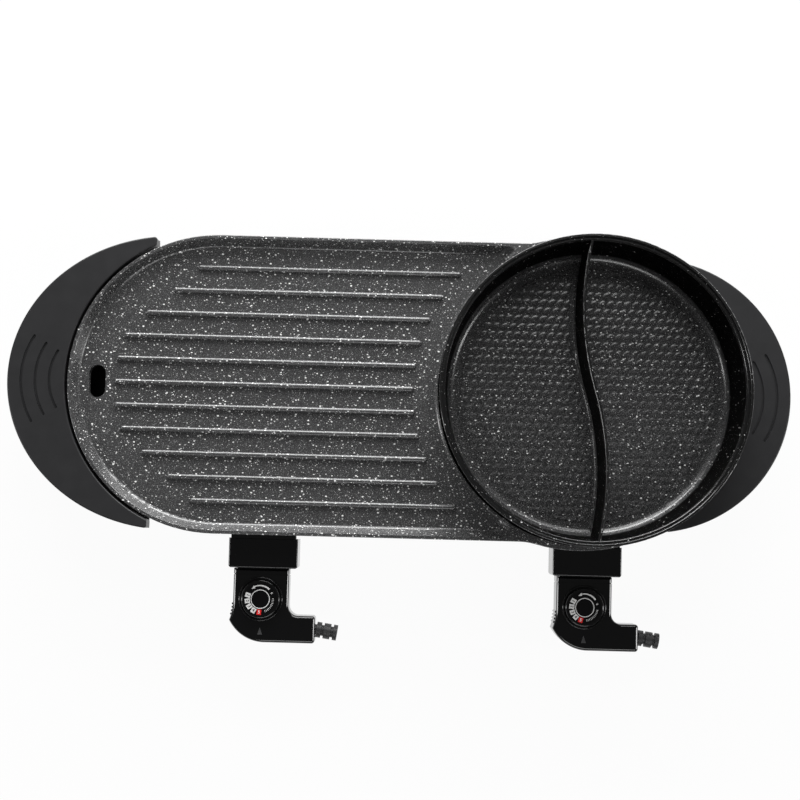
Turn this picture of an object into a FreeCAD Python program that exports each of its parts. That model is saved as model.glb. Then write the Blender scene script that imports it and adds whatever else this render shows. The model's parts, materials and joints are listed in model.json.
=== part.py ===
import FreeCAD, Part
import math
import os

# Table-top electric grill with a divided hot pot, cast in one piece.
# Millimetres. +X towards the pot, +Y towards the back, +Z up.
# Shapes are built with y measured from the long axis of the casting, and are
# moved by AXIS_Y when they are written, so that the origin is the middle of
# the footprint on the table.

V = FreeCAD.Vector

# ---- casting: grill tray -------------------------------------------------
CENTRE_DISTANCE = 359.0      # centre of the tray's round end to centre of the pot
GRILL_HALF_WIDTH = 144.0     # outer edge of the tray's rim
GRILL_RIM_Z = 79.0
GRILL_RIM_WIDTH = 3.4
GRILL_DEPTH = 11.0
GRILL_SLOPE = 6.0            # how far the tray's sloping wall runs inwards
GRILL_FLOOR_T = 4.5
GRILL_COVE_R = 3.5
GRILL_CORNER_R = 9.0
TRAY_WALL_STEP = 3.0         # the rim overhangs the tray wall by this
TRAY_BOTTOM_R = 5.5
FLANGE_T = 3.5
FLANGE_EDGE_R = 0.8
EDGE_BREAK = 0.4             # narrow bevel on the inner edges of the rims

# ---- casting: pot --------------------------------------------------------
POT_BEYOND_TRAY = 3.0        # the pot's rim radius exceeds the tray's half width
POT_RIM_R = GRILL_HALF_WIDTH + POT_BEYOND_TRAY
POT_RIM_Z = 125.0
POT_FLOOR_Z = 57.5
POT_FLOOR_T = 4.5
POT_WALL = 4.0
POT_DRAFT = 4.3
POT_COVE_R = 9.0
POT_BOTTOM_R = 7.0
LIP_WIDTH = 2.6
LIP_HEIGHT = 4.0
LEDGE_WIDTH = 2.8
LEDGE_DROP = 3.0
RIM_EDGE_R = 0.5
FLANGE_BEYOND_RIM = 4.5
POT_FLANGE_R = POT_RIM_R + FLANGE_BEYOND_RIM
FLANGE_SHIFT = 10.0          # the flange's centre lies this far towards the tray
JUNCTION_R = 60.0            # hollow curve where the two outlines meet

# ---- casting: divider ----------------------------------------------------
DIVIDER_TOP_Z = 118.5
DIVIDER_TOP_T = 3.0
DIVIDER_BASE_T = 5.0
DIVIDER_BULGE = 9.3          # how far each half bows away from its chord
DIVIDER_END_SHIFT = 5.2
DIVIDER_COVE_R = 3.0

# ---- casting: ribs and drain slot ----------------------------------------
RIB_PITCH = 22.6
RIB_WIDTH = 5.4
RIB_HEIGHT = 3.3
RIB_TOP_R = 2.5
RIB_SETBACK = 43.5           # left end of the middle rib, from the tray's end
RIB_START = GRILL_HALF_WIDTH - RIB_SETBACK
RIB_LEFT_INSETS = (0.0, 1.5, 7.5, 28.0, 54.0, 77.0)
RIB_POT_GAP = 22.7           # right ends keep this far from the pot's rim
RIB_POT_R = POT_RIM_R + RIB_POT_GAP
SLOT_SETBACK = 27.0          # middle of the drain slot, from the tray's end
SLOT_X = GRILL_HALF_WIDTH - SLOT_SETBACK
SLOT_WIDTH = 16.0
SLOT_LENGTH = 31.5
SPOUT_WALL = 2.0
SPOUT_DROP = 5.0

# ---- heaters and terminals -----------------------------------------------
CONTROL_Z = 29.0             # height of the pins, the probe and the controllers
HEATER_R = 3.3
HEATER_FIT = 0.05
HEATER_DEPTH = 6.0           # tube centre below the underside it is set in
CHANNEL_WIDTH = 13.0
CHANNEL_DEPTH = 8.5
GRILL_LOOP_INSET = 65.0      # left run of the tray's heater, from the tray's end
GRILL_LOOP_LEFT = GRILL_HALF_WIDTH - GRILL_LOOP_INSET
GRILL_LOOP_GAP = 13.0        # right run, from the pot's rim
GRILL_LOOP_RIGHT = POT_RIM_R + GRILL_LOOP_GAP
GRILL_LOOP_MARGIN = 69.0     # long runs, from the tray's sides
GRILL_LOOP_HALF = GRILL_HALF_WIDTH - GRILL_LOOP_MARGIN
GRILL_LOOP_R = 40.0
POT_LOOP_MARGIN = 55.0       # ring, from the pot's rim
POT_LOOP_R = POT_RIM_R - POT_LOOP_MARGIN
LEAD_R = 14.0
LEAD_DROP_R = 10.0
GRILL_LEAD_LENGTH = 21.0     # from the heater to where its leads turn down
GRILL_DROP_START = GRILL_LOOP_HALF + GRILL_LEAD_LENGTH
POT_LEAD_LENGTH = 16.0
POT_DROP_START = POT_LOOP_R + POT_LEAD_LENGTH
PIN_SPREAD = 13.0
PIN_R = 2.0
PIN_LENGTH = 19.0
BEAD_R = 3.2
BEAD_LENGTH = 4.0
PIN_FIT = 0.02
SHEATH_STAND_OUT = 3.0
PROBE_R = 3.0
PROBE_GAP = 0.4
PROBE_BOSS_LENGTH = 25.0
PROBE_BOSS_WIDTH = 14.0
PROBE_BOSS_BELOW = 7.0

# ---- socket shrouds --------------------------------------------------------
GRILL_SOCKET_X = 47.3        # from the end centre
POT_SOCKET_X = 3.1           # from the pot's centre
SHROUD_WIDTH = 67.0
SHROUD_HEIGHT = 42.0
SHROUD_WALL = 2.6
SHROUD_STAND_OUT = 24.8      # beyond the pot's flange
SHROUD_FRONT = POT_FLANGE_R + SHROUD_STAND_OUT
MOUTH_DEPTH = 26.3
SHROUD_WEB = SHROUD_FRONT - MOUTH_DEPTH
ROOF_LENGTH = 29.0
SHROUD_BACK = SHROUD_WEB - ROOF_LENGTH
SHROUD_CORNER_R = 2.6
SHROUD_EDGE_R = 1.2
WEB_T = 2.5
ROOF_INSET = 2.0
GUSSET_HEIGHT = 11.0
SHROUD_SCREW_X = 23.5
SHROUD_SCREW_INSET = 9.0     # from the roof's back edge
SHROUD_SCREW_Y = SHROUD_BACK + SHROUD_SCREW_INSET
SHROUD_SCREW_LENGTH = 8.0
HOLE_GAP = 0.4
PROBE_BOSS_GAP = 2.0
PROBE_BOSS_FRONT = SHROUD_BACK - PROBE_BOSS_GAP
PROBE_BOSS_BACK = PROBE_BOSS_FRONT - PROBE_BOSS_LENGTH

# ---- plug-in controllers -----------------------------------------------------
PLUG_GAP = 0.8
DIAL_Y = 30.0                # middle of the dial, from the shroud's front
BEZEL_R = 21.3
LENS_STEP = 5.7              # from the bezel to the pilot window
LENS_LENGTH = 7.6
END_MARGIN = 7.4             # from the pilot window to the controller's end
LENS_NEAR = DIAL_Y + BEZEL_R + LENS_STEP
LENS_FAR = LENS_NEAR + LENS_LENGTH
BODY_LENGTH = LENS_FAR + END_MARGIN
BODY_LEFT = 28.6
BODY_RIGHT = 25.5
BODY_HEIGHT = 28.0
BODY_WALL = 2.2
BODY_EDGE_R = 2.8
BULGE_OUT = 3.3
BULGE_LENGTH = 18.0
HEEL_LENGTH = 21.0
BULGE_END = BODY_LENGTH - HEEL_LENGTH
BULGE_START = BULGE_END - BULGE_LENGTH
HEEL_X = 2.6                 # where the round heel meets the straight end
FOOT_REACH = 51.8
FOOT_WIDTH = 26.5
FOOT_START = BODY_LENGTH - FOOT_WIDTH
FOOT_CORNER_R = 3.0
FOOT_INNER_R = 9.5
NOSE_WIDTH = 50.0
NOSE_HEIGHT = 23.0
NOSE_LENGTH = 18.0
NOSE_WALL = 2.2
COLLAR_LENGTH = 5.0
GROOVE_WIDTH = 1.0
GROOVE_DEPTH = 0.8
GRIP_RIDGES = 4
GRIP_RIDGE_STEP = 2.2        # first ridge, from the start of the swell
GRIP_RIDGE_START = BULGE_START + GRIP_RIDGE_STEP
GRIP_RIDGE_PITCH = 3.3
GRIP_RIDGE_R = 1.1
CONTACT_WALL = 1.0
CONTACT_GAP = 0.3
CONTACT_LENGTH = 20.0
CONTACT_INSET = 0.5
BLOCK_SETBACK = 2.0
BLOCK_LENGTH = 12.0
BLOCK_FIT = 0.1
PROBE_END_GAP = 6.0          # probe's tip, from the closed end of its boss
PROBE_TIP = PROBE_BOSS_BACK + PROBE_END_GAP
PROBE_HOLE_SPARE = 2.0
SWITCH_WIDTH = 30.0
SWITCH_LENGTH = 26.0
SWITCH_HEIGHT = 13.0
SWITCH_CORNER_R = 1.5
LENS_WIDTH = 5.0
LENS_PROUD = 0.2
LENS_DEPTH = 1.5             # below the inside of the cover
LENS_GAP = 0.1
LAMP_R = 2.5
LAMP_LENGTH = 12.0
CASE_SCREW_INSET = 6.0       # screws of the case, from its sides
CASE_SCREW_Y = 9.5
HEEL_SCREW_INSET = (8.6, 12.0)   # from the left side and the straight end
FOOT_SCREW_INSET = (18.8, 6.0)   # from the sleeve's side and the straight end
HEEL_SCREW = (HEEL_SCREW_INSET[0] - BODY_LEFT, BODY_LENGTH - HEEL_SCREW_INSET[1])
FOOT_SCREW = (FOOT_REACH - FOOT_SCREW_INSET[0], BODY_LENGTH - FOOT_SCREW_INSET[1])
LEFT_SCREW = (CASE_SCREW_INSET - BODY_LEFT, CASE_SCREW_Y)
RIGHT_SCREW = (BODY_RIGHT - CASE_SCREW_INSET, CASE_SCREW_Y)
CASE_SCREW_SPOTS = (LEFT_SCREW, RIGHT_SCREW, HEEL_SCREW, FOOT_SCREW)
CASE_SCREW_R = 1.5
CASE_SCREW_HEAD_R = 2.8
CASE_SCREW_HEAD_H = 1.8
CASE_SCREW_LENGTH = 17.0
CASE_POST_R = 3.4
CASE_HEAD_RECESS = 3.5
RELIEF_R = 7.6
RELIEF_NECK_R = 4.9
RELIEF_RINGS = (4.6, 6.6, 4.0)   # widths from the case outwards
RELIEF_NOTCH = 2.6
RELIEF_CORE_R = 5.3
RELIEF_BORE_R = 3.6
RELIEF_FLANGE_R = 7.0
RELIEF_FLANGE_T = 3.0
RELIEF_TILT = 8.5            # degrees that the sleeve turns towards the front

# ---- dials ----------------------------------------------------------------------
BEZEL_WIDTH = 2.0
BEZEL_HEIGHT = 2.4
BEZEL_SEAT = 0.8
KNOB_R = 18.6
KNOB_LIFT = 0.5
KNOB_HEIGHT = 5.6
KNOB_EDGE_R = 1.2
PLATE_R = 15.9
PLATE_T = 0.7
PLATE_GAP = 0.05
SPINDLE_R = 3.0
SPINDLE_GAP = 0.3
SPINDLE_SEAT = 3.5
KNOB_ROOF = 1.4

# ---- end handles and legs ------------------------------------------------------
WING_BEYOND_GRILL = 57.5     # handle end beyond the tray's rim
WING_BEYOND_POT = 45.6       # handle end beyond the pot's rim
LEFT_STRETCH = 13.7          # left outline's half length beyond the tray's half width
LEFT_NARROWING = 2.4
RIGHT_SHORTENING = 11.9      # right outline's half length within the pot's rim radius
RIGHT_NARROWING = 14.6
WING_TOP_Z = 79.5
WING_COVER_HEIGHT = 21.5
WING_WALL = 3.0
WING_GAP = 2.6               # open joint round the tray's rim
POT_JOINT_R = POT_RIM_R + 0.5    # the right handle tucks in under the pot's rim
WING_EDGE_R = 1.3
LEFT_TIP_WIDTH = 8.1         # the horns end where they are this wide
RIGHT_TIP_WIDTH = 4.5
LEFT_TIP_R = 2.5
RIGHT_TIP_R = 1.6
LEFT_TIP_SOLID = 8.0
RIGHT_TIP_SOLID = 15.0
GRIP_X = 92.8                # centre of the grip grooves, from the handle's end
GRIP_RADII = (79.5, 66.0, 52.5)
GRIP_HALF_ANGLE = 31.0
GRIP_WIDTH = 2.6
GRIP_DEPTH = 1.4
PLATE_INSET = 0.3
PLATE_THICKNESS = 3.0
LEFT_PLATE_TUCK = 9.0        # how far the closing plates reach in under the casting
RIGHT_PLATE_TUCK = 0.5
LEG_INSET = 3.0
LEG_WALL = 2.5
LEG_FLOOR = 3.0
LEG_INNER_Y = 62.0
LEG_MARGIN = 36.0            # outer side of a leg, from the tray's side
LEG_OUTER_Y = GRILL_HALF_WIDTH - LEG_MARGIN
LEG_BOTTOM_Z = 4.0
LEFT_PAD_X = 56.5            # rubber feet, from the handle's end
RIGHT_PAD_X = 50.5
PAD_Y = (LEG_INNER_Y + LEG_OUTER_Y) / 2
PAD_R = 8.5
PAD_STEM_R = 3.0
PAD_BUTTON_R = 3.9
PAD_BUTTON_H = 2.0
PAD_EDGE_R = 0.8
PAD_BUTTON_EDGE_R = 0.7
PAD_FIT = 0.1
TAB_TOP_Z = 50.0
TAB_T = 4.5
TAB_BEGIN_ANGLE = 24.0
TAB_END_ANGLE = 56.5
LEG_SCREW_MARGIN = 20.0      # screws into the casting, from the tray's rim
LEG_SCREW_RING_R = GRILL_HALF_WIDTH - LEG_SCREW_MARGIN
LEG_SCREW_ANGLES = (37.0, 53.0)
TAB_MARGIN = 10.0
TAB_INNER_R = LEG_SCREW_RING_R - TAB_MARGIN
CAST_BOSS_R = 6.0
SCREW_R = 2.0
SCREW_HEAD_R = 3.8
SCREW_HEAD_H = 2.6
SCREW_LENGTH = 9.0
THREAD_FIT = 0.05
SCREW_CLEARANCE = 0.3
DRIVE_WIDTH = 0.9            # cross recess in a screw's head
DRIVE_DEPTH = 0.45           # as a share of the head's height
DRIVE_REACH = 0.6            # as a share of the head's radius
HANDLE_SCREW_BACK = 22.0     # middle screw, from the handle's end
HANDLE_SCREW_STEP = 8.0      # outer screws, beyond the legs
HANDLE_SCREW_Y = LEG_OUTER_Y + HANDLE_SCREW_STEP
HANDLE_BOSS_R = 4.5
HANDLE_SCREW_LENGTH = 14.0

# ---- drip tray ------------------------------------------------------------------
DRIP_FRONT = 30.0            # front of the tray, from the handle's end
DRIP_LENGTH = 84.0
DRIP_HALF_WIDTH = 49.0
DRIP_DEPTH = 18.0
DRIP_WALL = 1.2
DRIP_FLANGE = 7.0
DRIP_CORNER_R = 6.0
DRIP_PANEL_T = 2.0
DRIP_PANEL_HALF_WIDTH = 57.0
DRIP_PANEL_RISE = 7.0
RAIL_T = 1.5
RAIL_LEDGE = 8.0
RAIL_LENGTH = 72.0
RAIL_DROP = 10.0
RAIL_SETBACK = 2.5           # behind the tray's front panel
RUN_GAP = 0.3

# ---- places that follow from the sizes ------------------------------------------
LEFT_END = WING_BEYOND_GRILL + GRILL_HALF_WIDTH
RIGHT_END = POT_RIM_R + WING_BEYOND_POT
HALF_LENGTH = (LEFT_END + CENTRE_DISTANCE + RIGHT_END) / 2
POT_X = HALF_LENGTH - RIGHT_END
GRILL_X = POT_X - CENTRE_DISTANCE
FLANGE_X = POT_X - FLANGE_SHIFT
AXIS_Y = (SHROUD_FRONT + BODY_LENGTH - POT_FLANGE_R) / 2
GRILL_FLOOR_Z = GRILL_RIM_Z - GRILL_DEPTH
GRILL_UNDER_Z = GRILL_FLOOR_Z - GRILL_FLOOR_T
POT_UNDER_Z = POT_FLOOR_Z - POT_FLOOR_T
POT_TOP_R = POT_RIM_R - LIP_WIDTH - LEDGE_WIDTH
POT_BOTTOM_INNER_R = POT_TOP_R - POT_DRAFT
GRILL_TUBE_Z = GRILL_UNDER_Z - HEATER_DEPTH
POT_TUBE_Z = POT_UNDER_Z - HEATER_DEPTH
GRILL_SOCKET = GRILL_X + GRILL_SOCKET_X
POT_SOCKET = POT_X + POT_SOCKET_X
SHEATH_END = SHROUD_WEB + SHEATH_STAND_OUT
SHROUD_TOP_Z = CONTROL_Z + SHROUD_HEIGHT / 2
WING_UNDER_Z = WING_TOP_Z - WING_COVER_HEIGHT
LEG_PLATE_Z = WING_UNDER_Z - PLATE_THICKNESS
TAB_UNDER_Z = TAB_TOP_Z - TAB_T
TRAY_JOINT_R = GRILL_HALF_WIDTH + WING_GAP
LEFT_HALF_LENGTH = GRILL_HALF_WIDTH + LEFT_STRETCH
LEFT_HALF_WIDTH = GRILL_HALF_WIDTH - LEFT_NARROWING
RIGHT_HALF_LENGTH = POT_RIM_R - RIGHT_SHORTENING
RIGHT_HALF_WIDTH = POT_RIM_R - RIGHT_NARROWING
BODY_MID_X = (BODY_RIGHT - BODY_LEFT) / 2
BODY_TOP_Z = CONTROL_Z + BODY_HEIGHT / 2
BODY_UNDER_Z = CONTROL_Z - BODY_HEIGHT / 2
RELIEF_Y = (FOOT_START + BODY_LENGTH) / 2
SWITCH_UNDER_Z = BODY_UNDER_Z + BODY_WALL
KNOB_TOP_Z = BODY_TOP_Z + KNOB_LIFT + KNOB_HEIGHT
RAIL_TOP_Z = TAB_UNDER_Z - RAIL_DROP
DRIP_TOP_Z = RAIL_TOP_Z + RUN_GAP + DRIP_WALL
DRIP_X = -HALF_LENGTH + DRIP_FRONT


# ---- small helpers ---------------------------------------------------------------
def box(x0, x1, y0, y1, z0, z1):
    return Part.makeBox(x1 - x0, y1 - y0, z1 - z0, V(x0, y0, z0))


def rod_z(x, y, z0, z1, r):
    return Part.makeCylinder(r, z1 - z0, V(x, y, z0), V(0, 0, 1))


def rod_y(x, z, y0, y1, r):
    return Part.makeCylinder(r, y1 - y0, V(x, y0, z), V(0, 1, 0))


def rod_x(y, z, x0, x1, r):
    return Part.makeCylinder(r, x1 - x0, V(x0, y, z), V(1, 0, 0))


def prism(wire, z0, z1):
    face = Part.Face(wire)
    face.translate(V(0, 0, z0))
    return face.extrude(V(0, 0, z1 - z0))


def line(a, b):
    return Part.LineSegment(V(*a), V(*b)).toShape()


def arc(a, mid, b):
    return Part.Arc(V(*a), V(*mid), V(*b)).toShape()


def polygon(points):
    return Part.makePolygon([V(*p) for p in points] + [V(*points[0])])


def fuse(shapes):
    whole = shapes[0]
    for shape in shapes[1:]:
        whole = whole.fuse(shape)
    return whole.removeSplitter()


def cut(shape, tools):
    for tool in tools:
        shape = shape.cut(tool)
    return shape


def edges_at(shape, z, tol=0.01):
    """Edges that lie flat at height z."""
    flat = []
    for edge in shape.Edges:
        b = edge.BoundBox
        if abs(b.ZMin - z) < tol and abs(b.ZMax - z) < tol:
            flat.append(edge)
    return flat


def upright_edges(shape):
    upright = []
    for edge in shape.Edges:
        b = edge.BoundBox
        if b.ZLength > 0.5 and b.XLength < 0.01 and b.YLength < 0.01:
            upright.append(edge)
    return upright


def round_edges(shape, radius, edges):
    return shape.makeFillet(radius, edges)


def revolve(points, x, y=0.0):
    """Turn a closed outline of (radius, z) points about an upright axis."""
    face = Part.Face(polygon([(x + r, y, z) for r, z in points]))
    return face.revolve(V(x, y, 0), V(0, 0, 1), 360)


def capsule(length, width, z0, z1):
    """Upright slab with round ends, centred on the origin, long along X."""
    r = width / 2
    half = length / 2 - r
    ends = [
        line((-half, -r, 0), (half, -r, 0)),
        arc((half, -r, 0), (half + r, 0, 0), (half, r, 0)),
        line((half, r, 0), (-half, r, 0)),
        arc((-half, r, 0), (-half - r, 0, 0), (-half, -r, 0)),
    ]
    return prism(Part.Wire(ends), z0, z1)


def rounded_box(x0, x1, y0, y1, z0, z1, r):
    slab = box(x0, x1, y0, y1, z0, z1)
    return round_edges(slab, r, upright_edges(slab))


def rounded_path(points, radii):
    """Straight runs through points, with a tangent arc at each inner point."""
    pts = [V(*p) for p in points]
    edges = []
    start = pts[0]
    for here, nxt, radius in zip(pts[1:-1], pts[2:], radii):
        into = (here - start).normalize()
        out = (nxt - here).normalize()
        turn = into.getAngle(out)
        reach = radius * math.tan(turn / 2)
        a = here - into * reach
        b = here + out * reach
        inward = (out - into).normalize()
        middle = here + inward * (radius / math.cos(turn / 2) - radius)
        edges.append(Part.LineSegment(start, a).toShape())
        edges.append(Part.Arc(a, middle, b).toShape())
        start = b
    edges.append(Part.LineSegment(start, pts[-1]).toShape())
    return Part.Wire(edges)


def pipe(path, radius, start, direction):
    ring = Part.Wire(Part.Circle(V(*start), V(*direction), radius).toShape())
    return path.makePipeShell([ring], True, True)


def write(name, shape):
    moved = shape.copy()
    moved.translate(V(0, AXIS_Y, 0))
    moved.exportStep("parts/" + name + ".step")


# ---- casting -----------------------------------------------------------------------
def stadium(half, x_end):
    """Outline with one round end at the tray's end centre, open-ended at x_end."""
    edges = [
        arc((GRILL_X, half, 0), (GRILL_X - half, 0, 0), (GRILL_X, -half, 0)),
        line((GRILL_X, -half, 0), (x_end, -half, 0)),
        line((x_end, -half, 0), (x_end, half, 0)),
        line((x_end, half, 0), (GRILL_X, half, 0)),
    ]
    return Part.Wire(edges)


def flange_outline():
    """Tray rim and pot flange in one line, joined by a hollow curve each side."""
    reach = POT_FLANGE_R + JUNCTION_R
    rise = GRILL_HALF_WIDTH + JUNCTION_R
    xf = FLANGE_X - math.sqrt(reach ** 2 - rise ** 2)
    angle = math.atan2(rise, xf - FLANGE_X)
    tx = FLANGE_X + POT_FLANGE_R * math.cos(angle)
    ty = POT_FLANGE_R * math.sin(angle)
    half_turn = (angle - math.pi / 2) / 2
    mx = xf + JUNCTION_R * math.sin(half_turn)
    my = rise - JUNCTION_R * math.cos(half_turn)
    h = GRILL_HALF_WIDTH
    edges = [
        arc((GRILL_X, h, 0), (GRILL_X - h, 0, 0), (GRILL_X, -h, 0)),
        line((GRILL_X, -h, 0), (xf, -h, 0)),
        arc((xf, -h, 0), (mx, -my, 0), (tx, -ty, 0)),
        arc((tx, -ty, 0), (FLANGE_X + POT_FLANGE_R, 0, 0), (tx, ty, 0)),
        arc((tx, ty, 0), (mx, my, 0), (xf, h, 0)),
        line((xf, h, 0), (GRILL_X, h, 0)),
    ]
    return Part.Wire(edges)


def flange():
    plate = prism(flange_outline(), GRILL_RIM_Z - FLANGE_T, GRILL_RIM_Z)
    rims = edges_at(plate, GRILL_RIM_Z) + edges_at(plate, GRILL_RIM_Z - FLANGE_T)
    return round_edges(plate, FLANGE_EDGE_R, rims)


def tray_block():
    outline = stadium(GRILL_HALF_WIDTH - TRAY_WALL_STEP, POT_X)
    block = prism(outline, GRILL_UNDER_Z, GRILL_RIM_Z - FLANGE_T / 2)
    rims = [e for e in edges_at(block, GRILL_UNDER_Z) if e.BoundBox.XMin < POT_X - 1]
    return round_edges(block, TRAY_BOTTOM_R, rims)


def hollow_outline(half, pot_r):
    """Tray space seen from above: round end, straight sides, hollowed by the pot."""
    c = GRILL_CORNER_R
    cx = POT_X - math.sqrt((pot_r + c) ** 2 - (half - c) ** 2)
    cy = half - c
    share = pot_r / (pot_r + c)
    tx = POT_X + (cx - POT_X) * share
    ty = cy * share
    ox = (cx + tx) / 2 - cx
    oy = (half + ty) / 2 - cy
    scale = c / math.hypot(ox, oy)
    mx = cx + ox * scale
    my = cy + oy * scale
    edges = [
        arc((GRILL_X, half, 0), (GRILL_X - half, 0, 0), (GRILL_X, -half, 0)),
        line((GRILL_X, -half, 0), (cx, -half, 0)),
        arc((cx, -half, 0), (mx, -my, 0), (tx, -ty, 0)),
        arc((tx, -ty, 0), (POT_X - pot_r, 0, 0), (tx, ty, 0)),
        arc((tx, ty, 0), (mx, my, 0), (cx, half, 0)),
        line((cx, half, 0), (GRILL_X, half, 0)),
    ]
    return Part.Wire(edges)


def tray_funnel(half0, z0, half1, z1):
    """Tray space between two heights whose sides run from half0 to half1."""
    low = hollow_outline(half0, POT_RIM_R)
    high = hollow_outline(half1, POT_RIM_R)
    low.translate(V(0, 0, z0))
    high.translate(V(0, 0, z1))
    return Part.makeLoft([low, high], True, True)


def tray_hollow():
    """The space inside the tray, with sloping sides that are rounded at the floor."""
    top = GRILL_HALF_WIDTH - GRILL_RIM_WIDTH
    above = GRILL_DEPTH / 2
    past = GRILL_SLOPE * above / GRILL_DEPTH
    space = tray_funnel(top - GRILL_SLOPE, GRILL_FLOOR_Z, top + past, GRILL_RIM_Z + above)
    return round_edges(space, GRILL_COVE_R, edges_at(space, GRILL_FLOOR_Z))


def tray_bevel():
    """The narrow bevel along the inner edge of the tray's rim."""
    foot = GRILL_HALF_WIDTH - GRILL_RIM_WIDTH - EDGE_BREAK * GRILL_SLOPE / GRILL_DEPTH
    low = GRILL_RIM_Z - 2 * EDGE_BREAK
    high = GRILL_RIM_Z + EDGE_BREAK
    return tray_funnel(foot - EDGE_BREAK, low, foot + 2 * EDGE_BREAK, high)


def pot_block():
    outer_bottom = POT_BOTTOM_INNER_R + POT_WALL
    outer_top = POT_TOP_R + POT_WALL
    lip_under = POT_RIM_Z - LIP_HEIGHT
    flare = POT_RIM_R - outer_top
    outline = [
        (0, POT_UNDER_Z),
        (outer_bottom, POT_UNDER_Z),
        (outer_top, lip_under - flare),
        (POT_RIM_R, lip_under),
        (POT_RIM_R, POT_RIM_Z),
        (0, POT_RIM_Z),
    ]
    block = revolve(outline, POT_X)
    block = round_edges(block, POT_BOTTOM_R, edges_at(block, POT_UNDER_Z))
    return round_edges(block, RIM_EDGE_R, edges_at(block, POT_RIM_Z))


def pot_hollow():
    ledge_z = POT_RIM_Z - LEDGE_DROP
    lip_r = POT_TOP_R + LEDGE_WIDTH
    outline = [
        (0, POT_FLOOR_Z),
        (POT_BOTTOM_INNER_R, POT_FLOOR_Z),
        (POT_TOP_R, ledge_z - EDGE_BREAK),
        (POT_TOP_R + EDGE_BREAK, ledge_z),
        (lip_r, ledge_z),
        (lip_r, POT_RIM_Z - EDGE_BREAK),
        (lip_r + 2 * EDGE_BREAK, POT_RIM_Z + EDGE_BREAK),
        (0, POT_RIM_Z + EDGE_BREAK),
    ]
    space = revolve(outline, POT_X)
    return round_edges(space, POT_COVE_R, edges_at(space, POT_FLOOR_Z))


def divider_half():
    """One bow of the S, turned about its own arc centre."""
    span = POT_TOP_R + POT_WALL / 2
    chord = math.hypot(span, DIVIDER_END_SHIFT)
    bow_r = (chord ** 2 / 4 + DIVIDER_BULGE ** 2) / (2 * DIVIDER_BULGE)
    lean = math.atan2(DIVIDER_END_SHIFT, span)
    depth = bow_r - DIVIDER_BULGE
    cx = POT_X - DIVIDER_END_SHIFT / 2 + depth * math.cos(lean)
    cy = span / 2 + depth * math.sin(lean)
    sweep = 2 * math.degrees(math.asin(chord / 2 / bow_r))
    start = math.degrees(math.atan2(-cy, POT_X - cx))
    base = DIVIDER_BASE_T / 2
    top = DIVIDER_TOP_T / 2
    cove = DIVIDER_COVE_R
    shoulder = DIVIDER_TOP_Z - top
    low = POT_FLOOR_Z - POT_FLOOR_T / 2
    bend = cove * (1 - math.sqrt(0.5))
    floor = POT_FLOOR_Z
    foot = base + cove
    edges = [
        line((-foot, 0, low), (foot, 0, low)),
        line((foot, 0, low), (foot, 0, floor)),
        arc((foot, 0, floor), (base + bend, 0, floor + bend), (base, 0, floor + cove)),
        line((base, 0, floor + cove), (top, 0, shoulder)),
        arc((top, 0, shoulder), (0, 0, DIVIDER_TOP_Z), (-top, 0, shoulder)),
        line((-top, 0, shoulder), (-base, 0, floor + cove)),
        arc((-base, 0, floor + cove), (-base - bend, 0, floor + bend), (-foot, 0, floor)),
        line((-foot, 0, floor), (-foot, 0, low)),
    ]
    face = Part.Face(Part.Wire(edges))
    face.translate(V(bow_r, 0, 0))
    half = face.revolve(V(0, 0, 0), V(0, 0, 1), -sweep)
    half.rotate(V(0, 0, 0), V(0, 0, 1), start)
    half.translate(V(cx, cy, 0))
    return half


def divider():
    back = divider_half()
    front = back.copy()
    front.rotate(V(POT_X, 0, 0), V(0, 0, 1), 180)
    return back.fuse(front).common(pot_block())


def rib(row):
    """One raised rib; row 0 is the middle one."""
    y = row * RIB_PITCH
    x0 = GRILL_X - RIB_START + RIB_LEFT_INSETS[abs(row)]
    x1 = POT_X - math.sqrt(RIB_POT_R ** 2 - y ** 2)
    bar = capsule(x1 - x0, RIB_WIDTH, GRILL_FLOOR_Z - 0.5, GRILL_FLOOR_Z + RIB_HEIGHT)
    bar = round_edges(bar, RIB_TOP_R, edges_at(bar, GRILL_FLOOR_Z + RIB_HEIGHT))
    bar.translate(V((x0 + x1) / 2, y, 0))
    return bar


def drain_slot(grow, z0, z1):
    slot = capsule(SLOT_LENGTH + 2 * grow, SLOT_WIDTH + 2 * grow, z0, z1)
    slot.rotate(V(0, 0, 0), V(0, 0, 1), 90)
    slot.translate(V(GRILL_X - SLOT_X, 0, 0))
    return slot


def lead_points(x, z, turn_y):
    """A lead's corners from its front end back to where it is set in the casting."""
    return [(x, -SHEATH_END, CONTROL_Z), (x, -turn_y - abs(z - CONTROL_Z), CONTROL_Z), (x, -turn_y, z)]


def grill_ring():
    h = GRILL_LOOP_HALF
    z = GRILL_TUBE_Z
    left = GRILL_X - GRILL_LOOP_LEFT
    right = POT_X - GRILL_LOOP_RIGHT
    return [
        (GRILL_SOCKET - PIN_SPREAD, -h, z), (left, -h, z), (left, h, z),
        (right, h, z), (right, -h, z), (GRILL_SOCKET + PIN_SPREAD, -h, z),
    ]


def grill_path(with_leads):
    """Path of the tray's heater; without leads it stops where they turn down."""
    radii = [LEAD_R] + [GRILL_LOOP_R] * 4 + [LEAD_R]
    first = lead_points(GRILL_SOCKET - PIN_SPREAD, GRILL_TUBE_Z, GRILL_DROP_START)
    last = lead_points(GRILL_SOCKET + PIN_SPREAD, GRILL_TUBE_Z, GRILL_DROP_START)[::-1]
    if not with_leads:
        return rounded_path(first[2:] + grill_ring() + last[:1], radii)
    drops = [LEAD_DROP_R, LEAD_DROP_R]
    return rounded_path(first + grill_ring() + last, drops + radii + drops)


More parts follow.
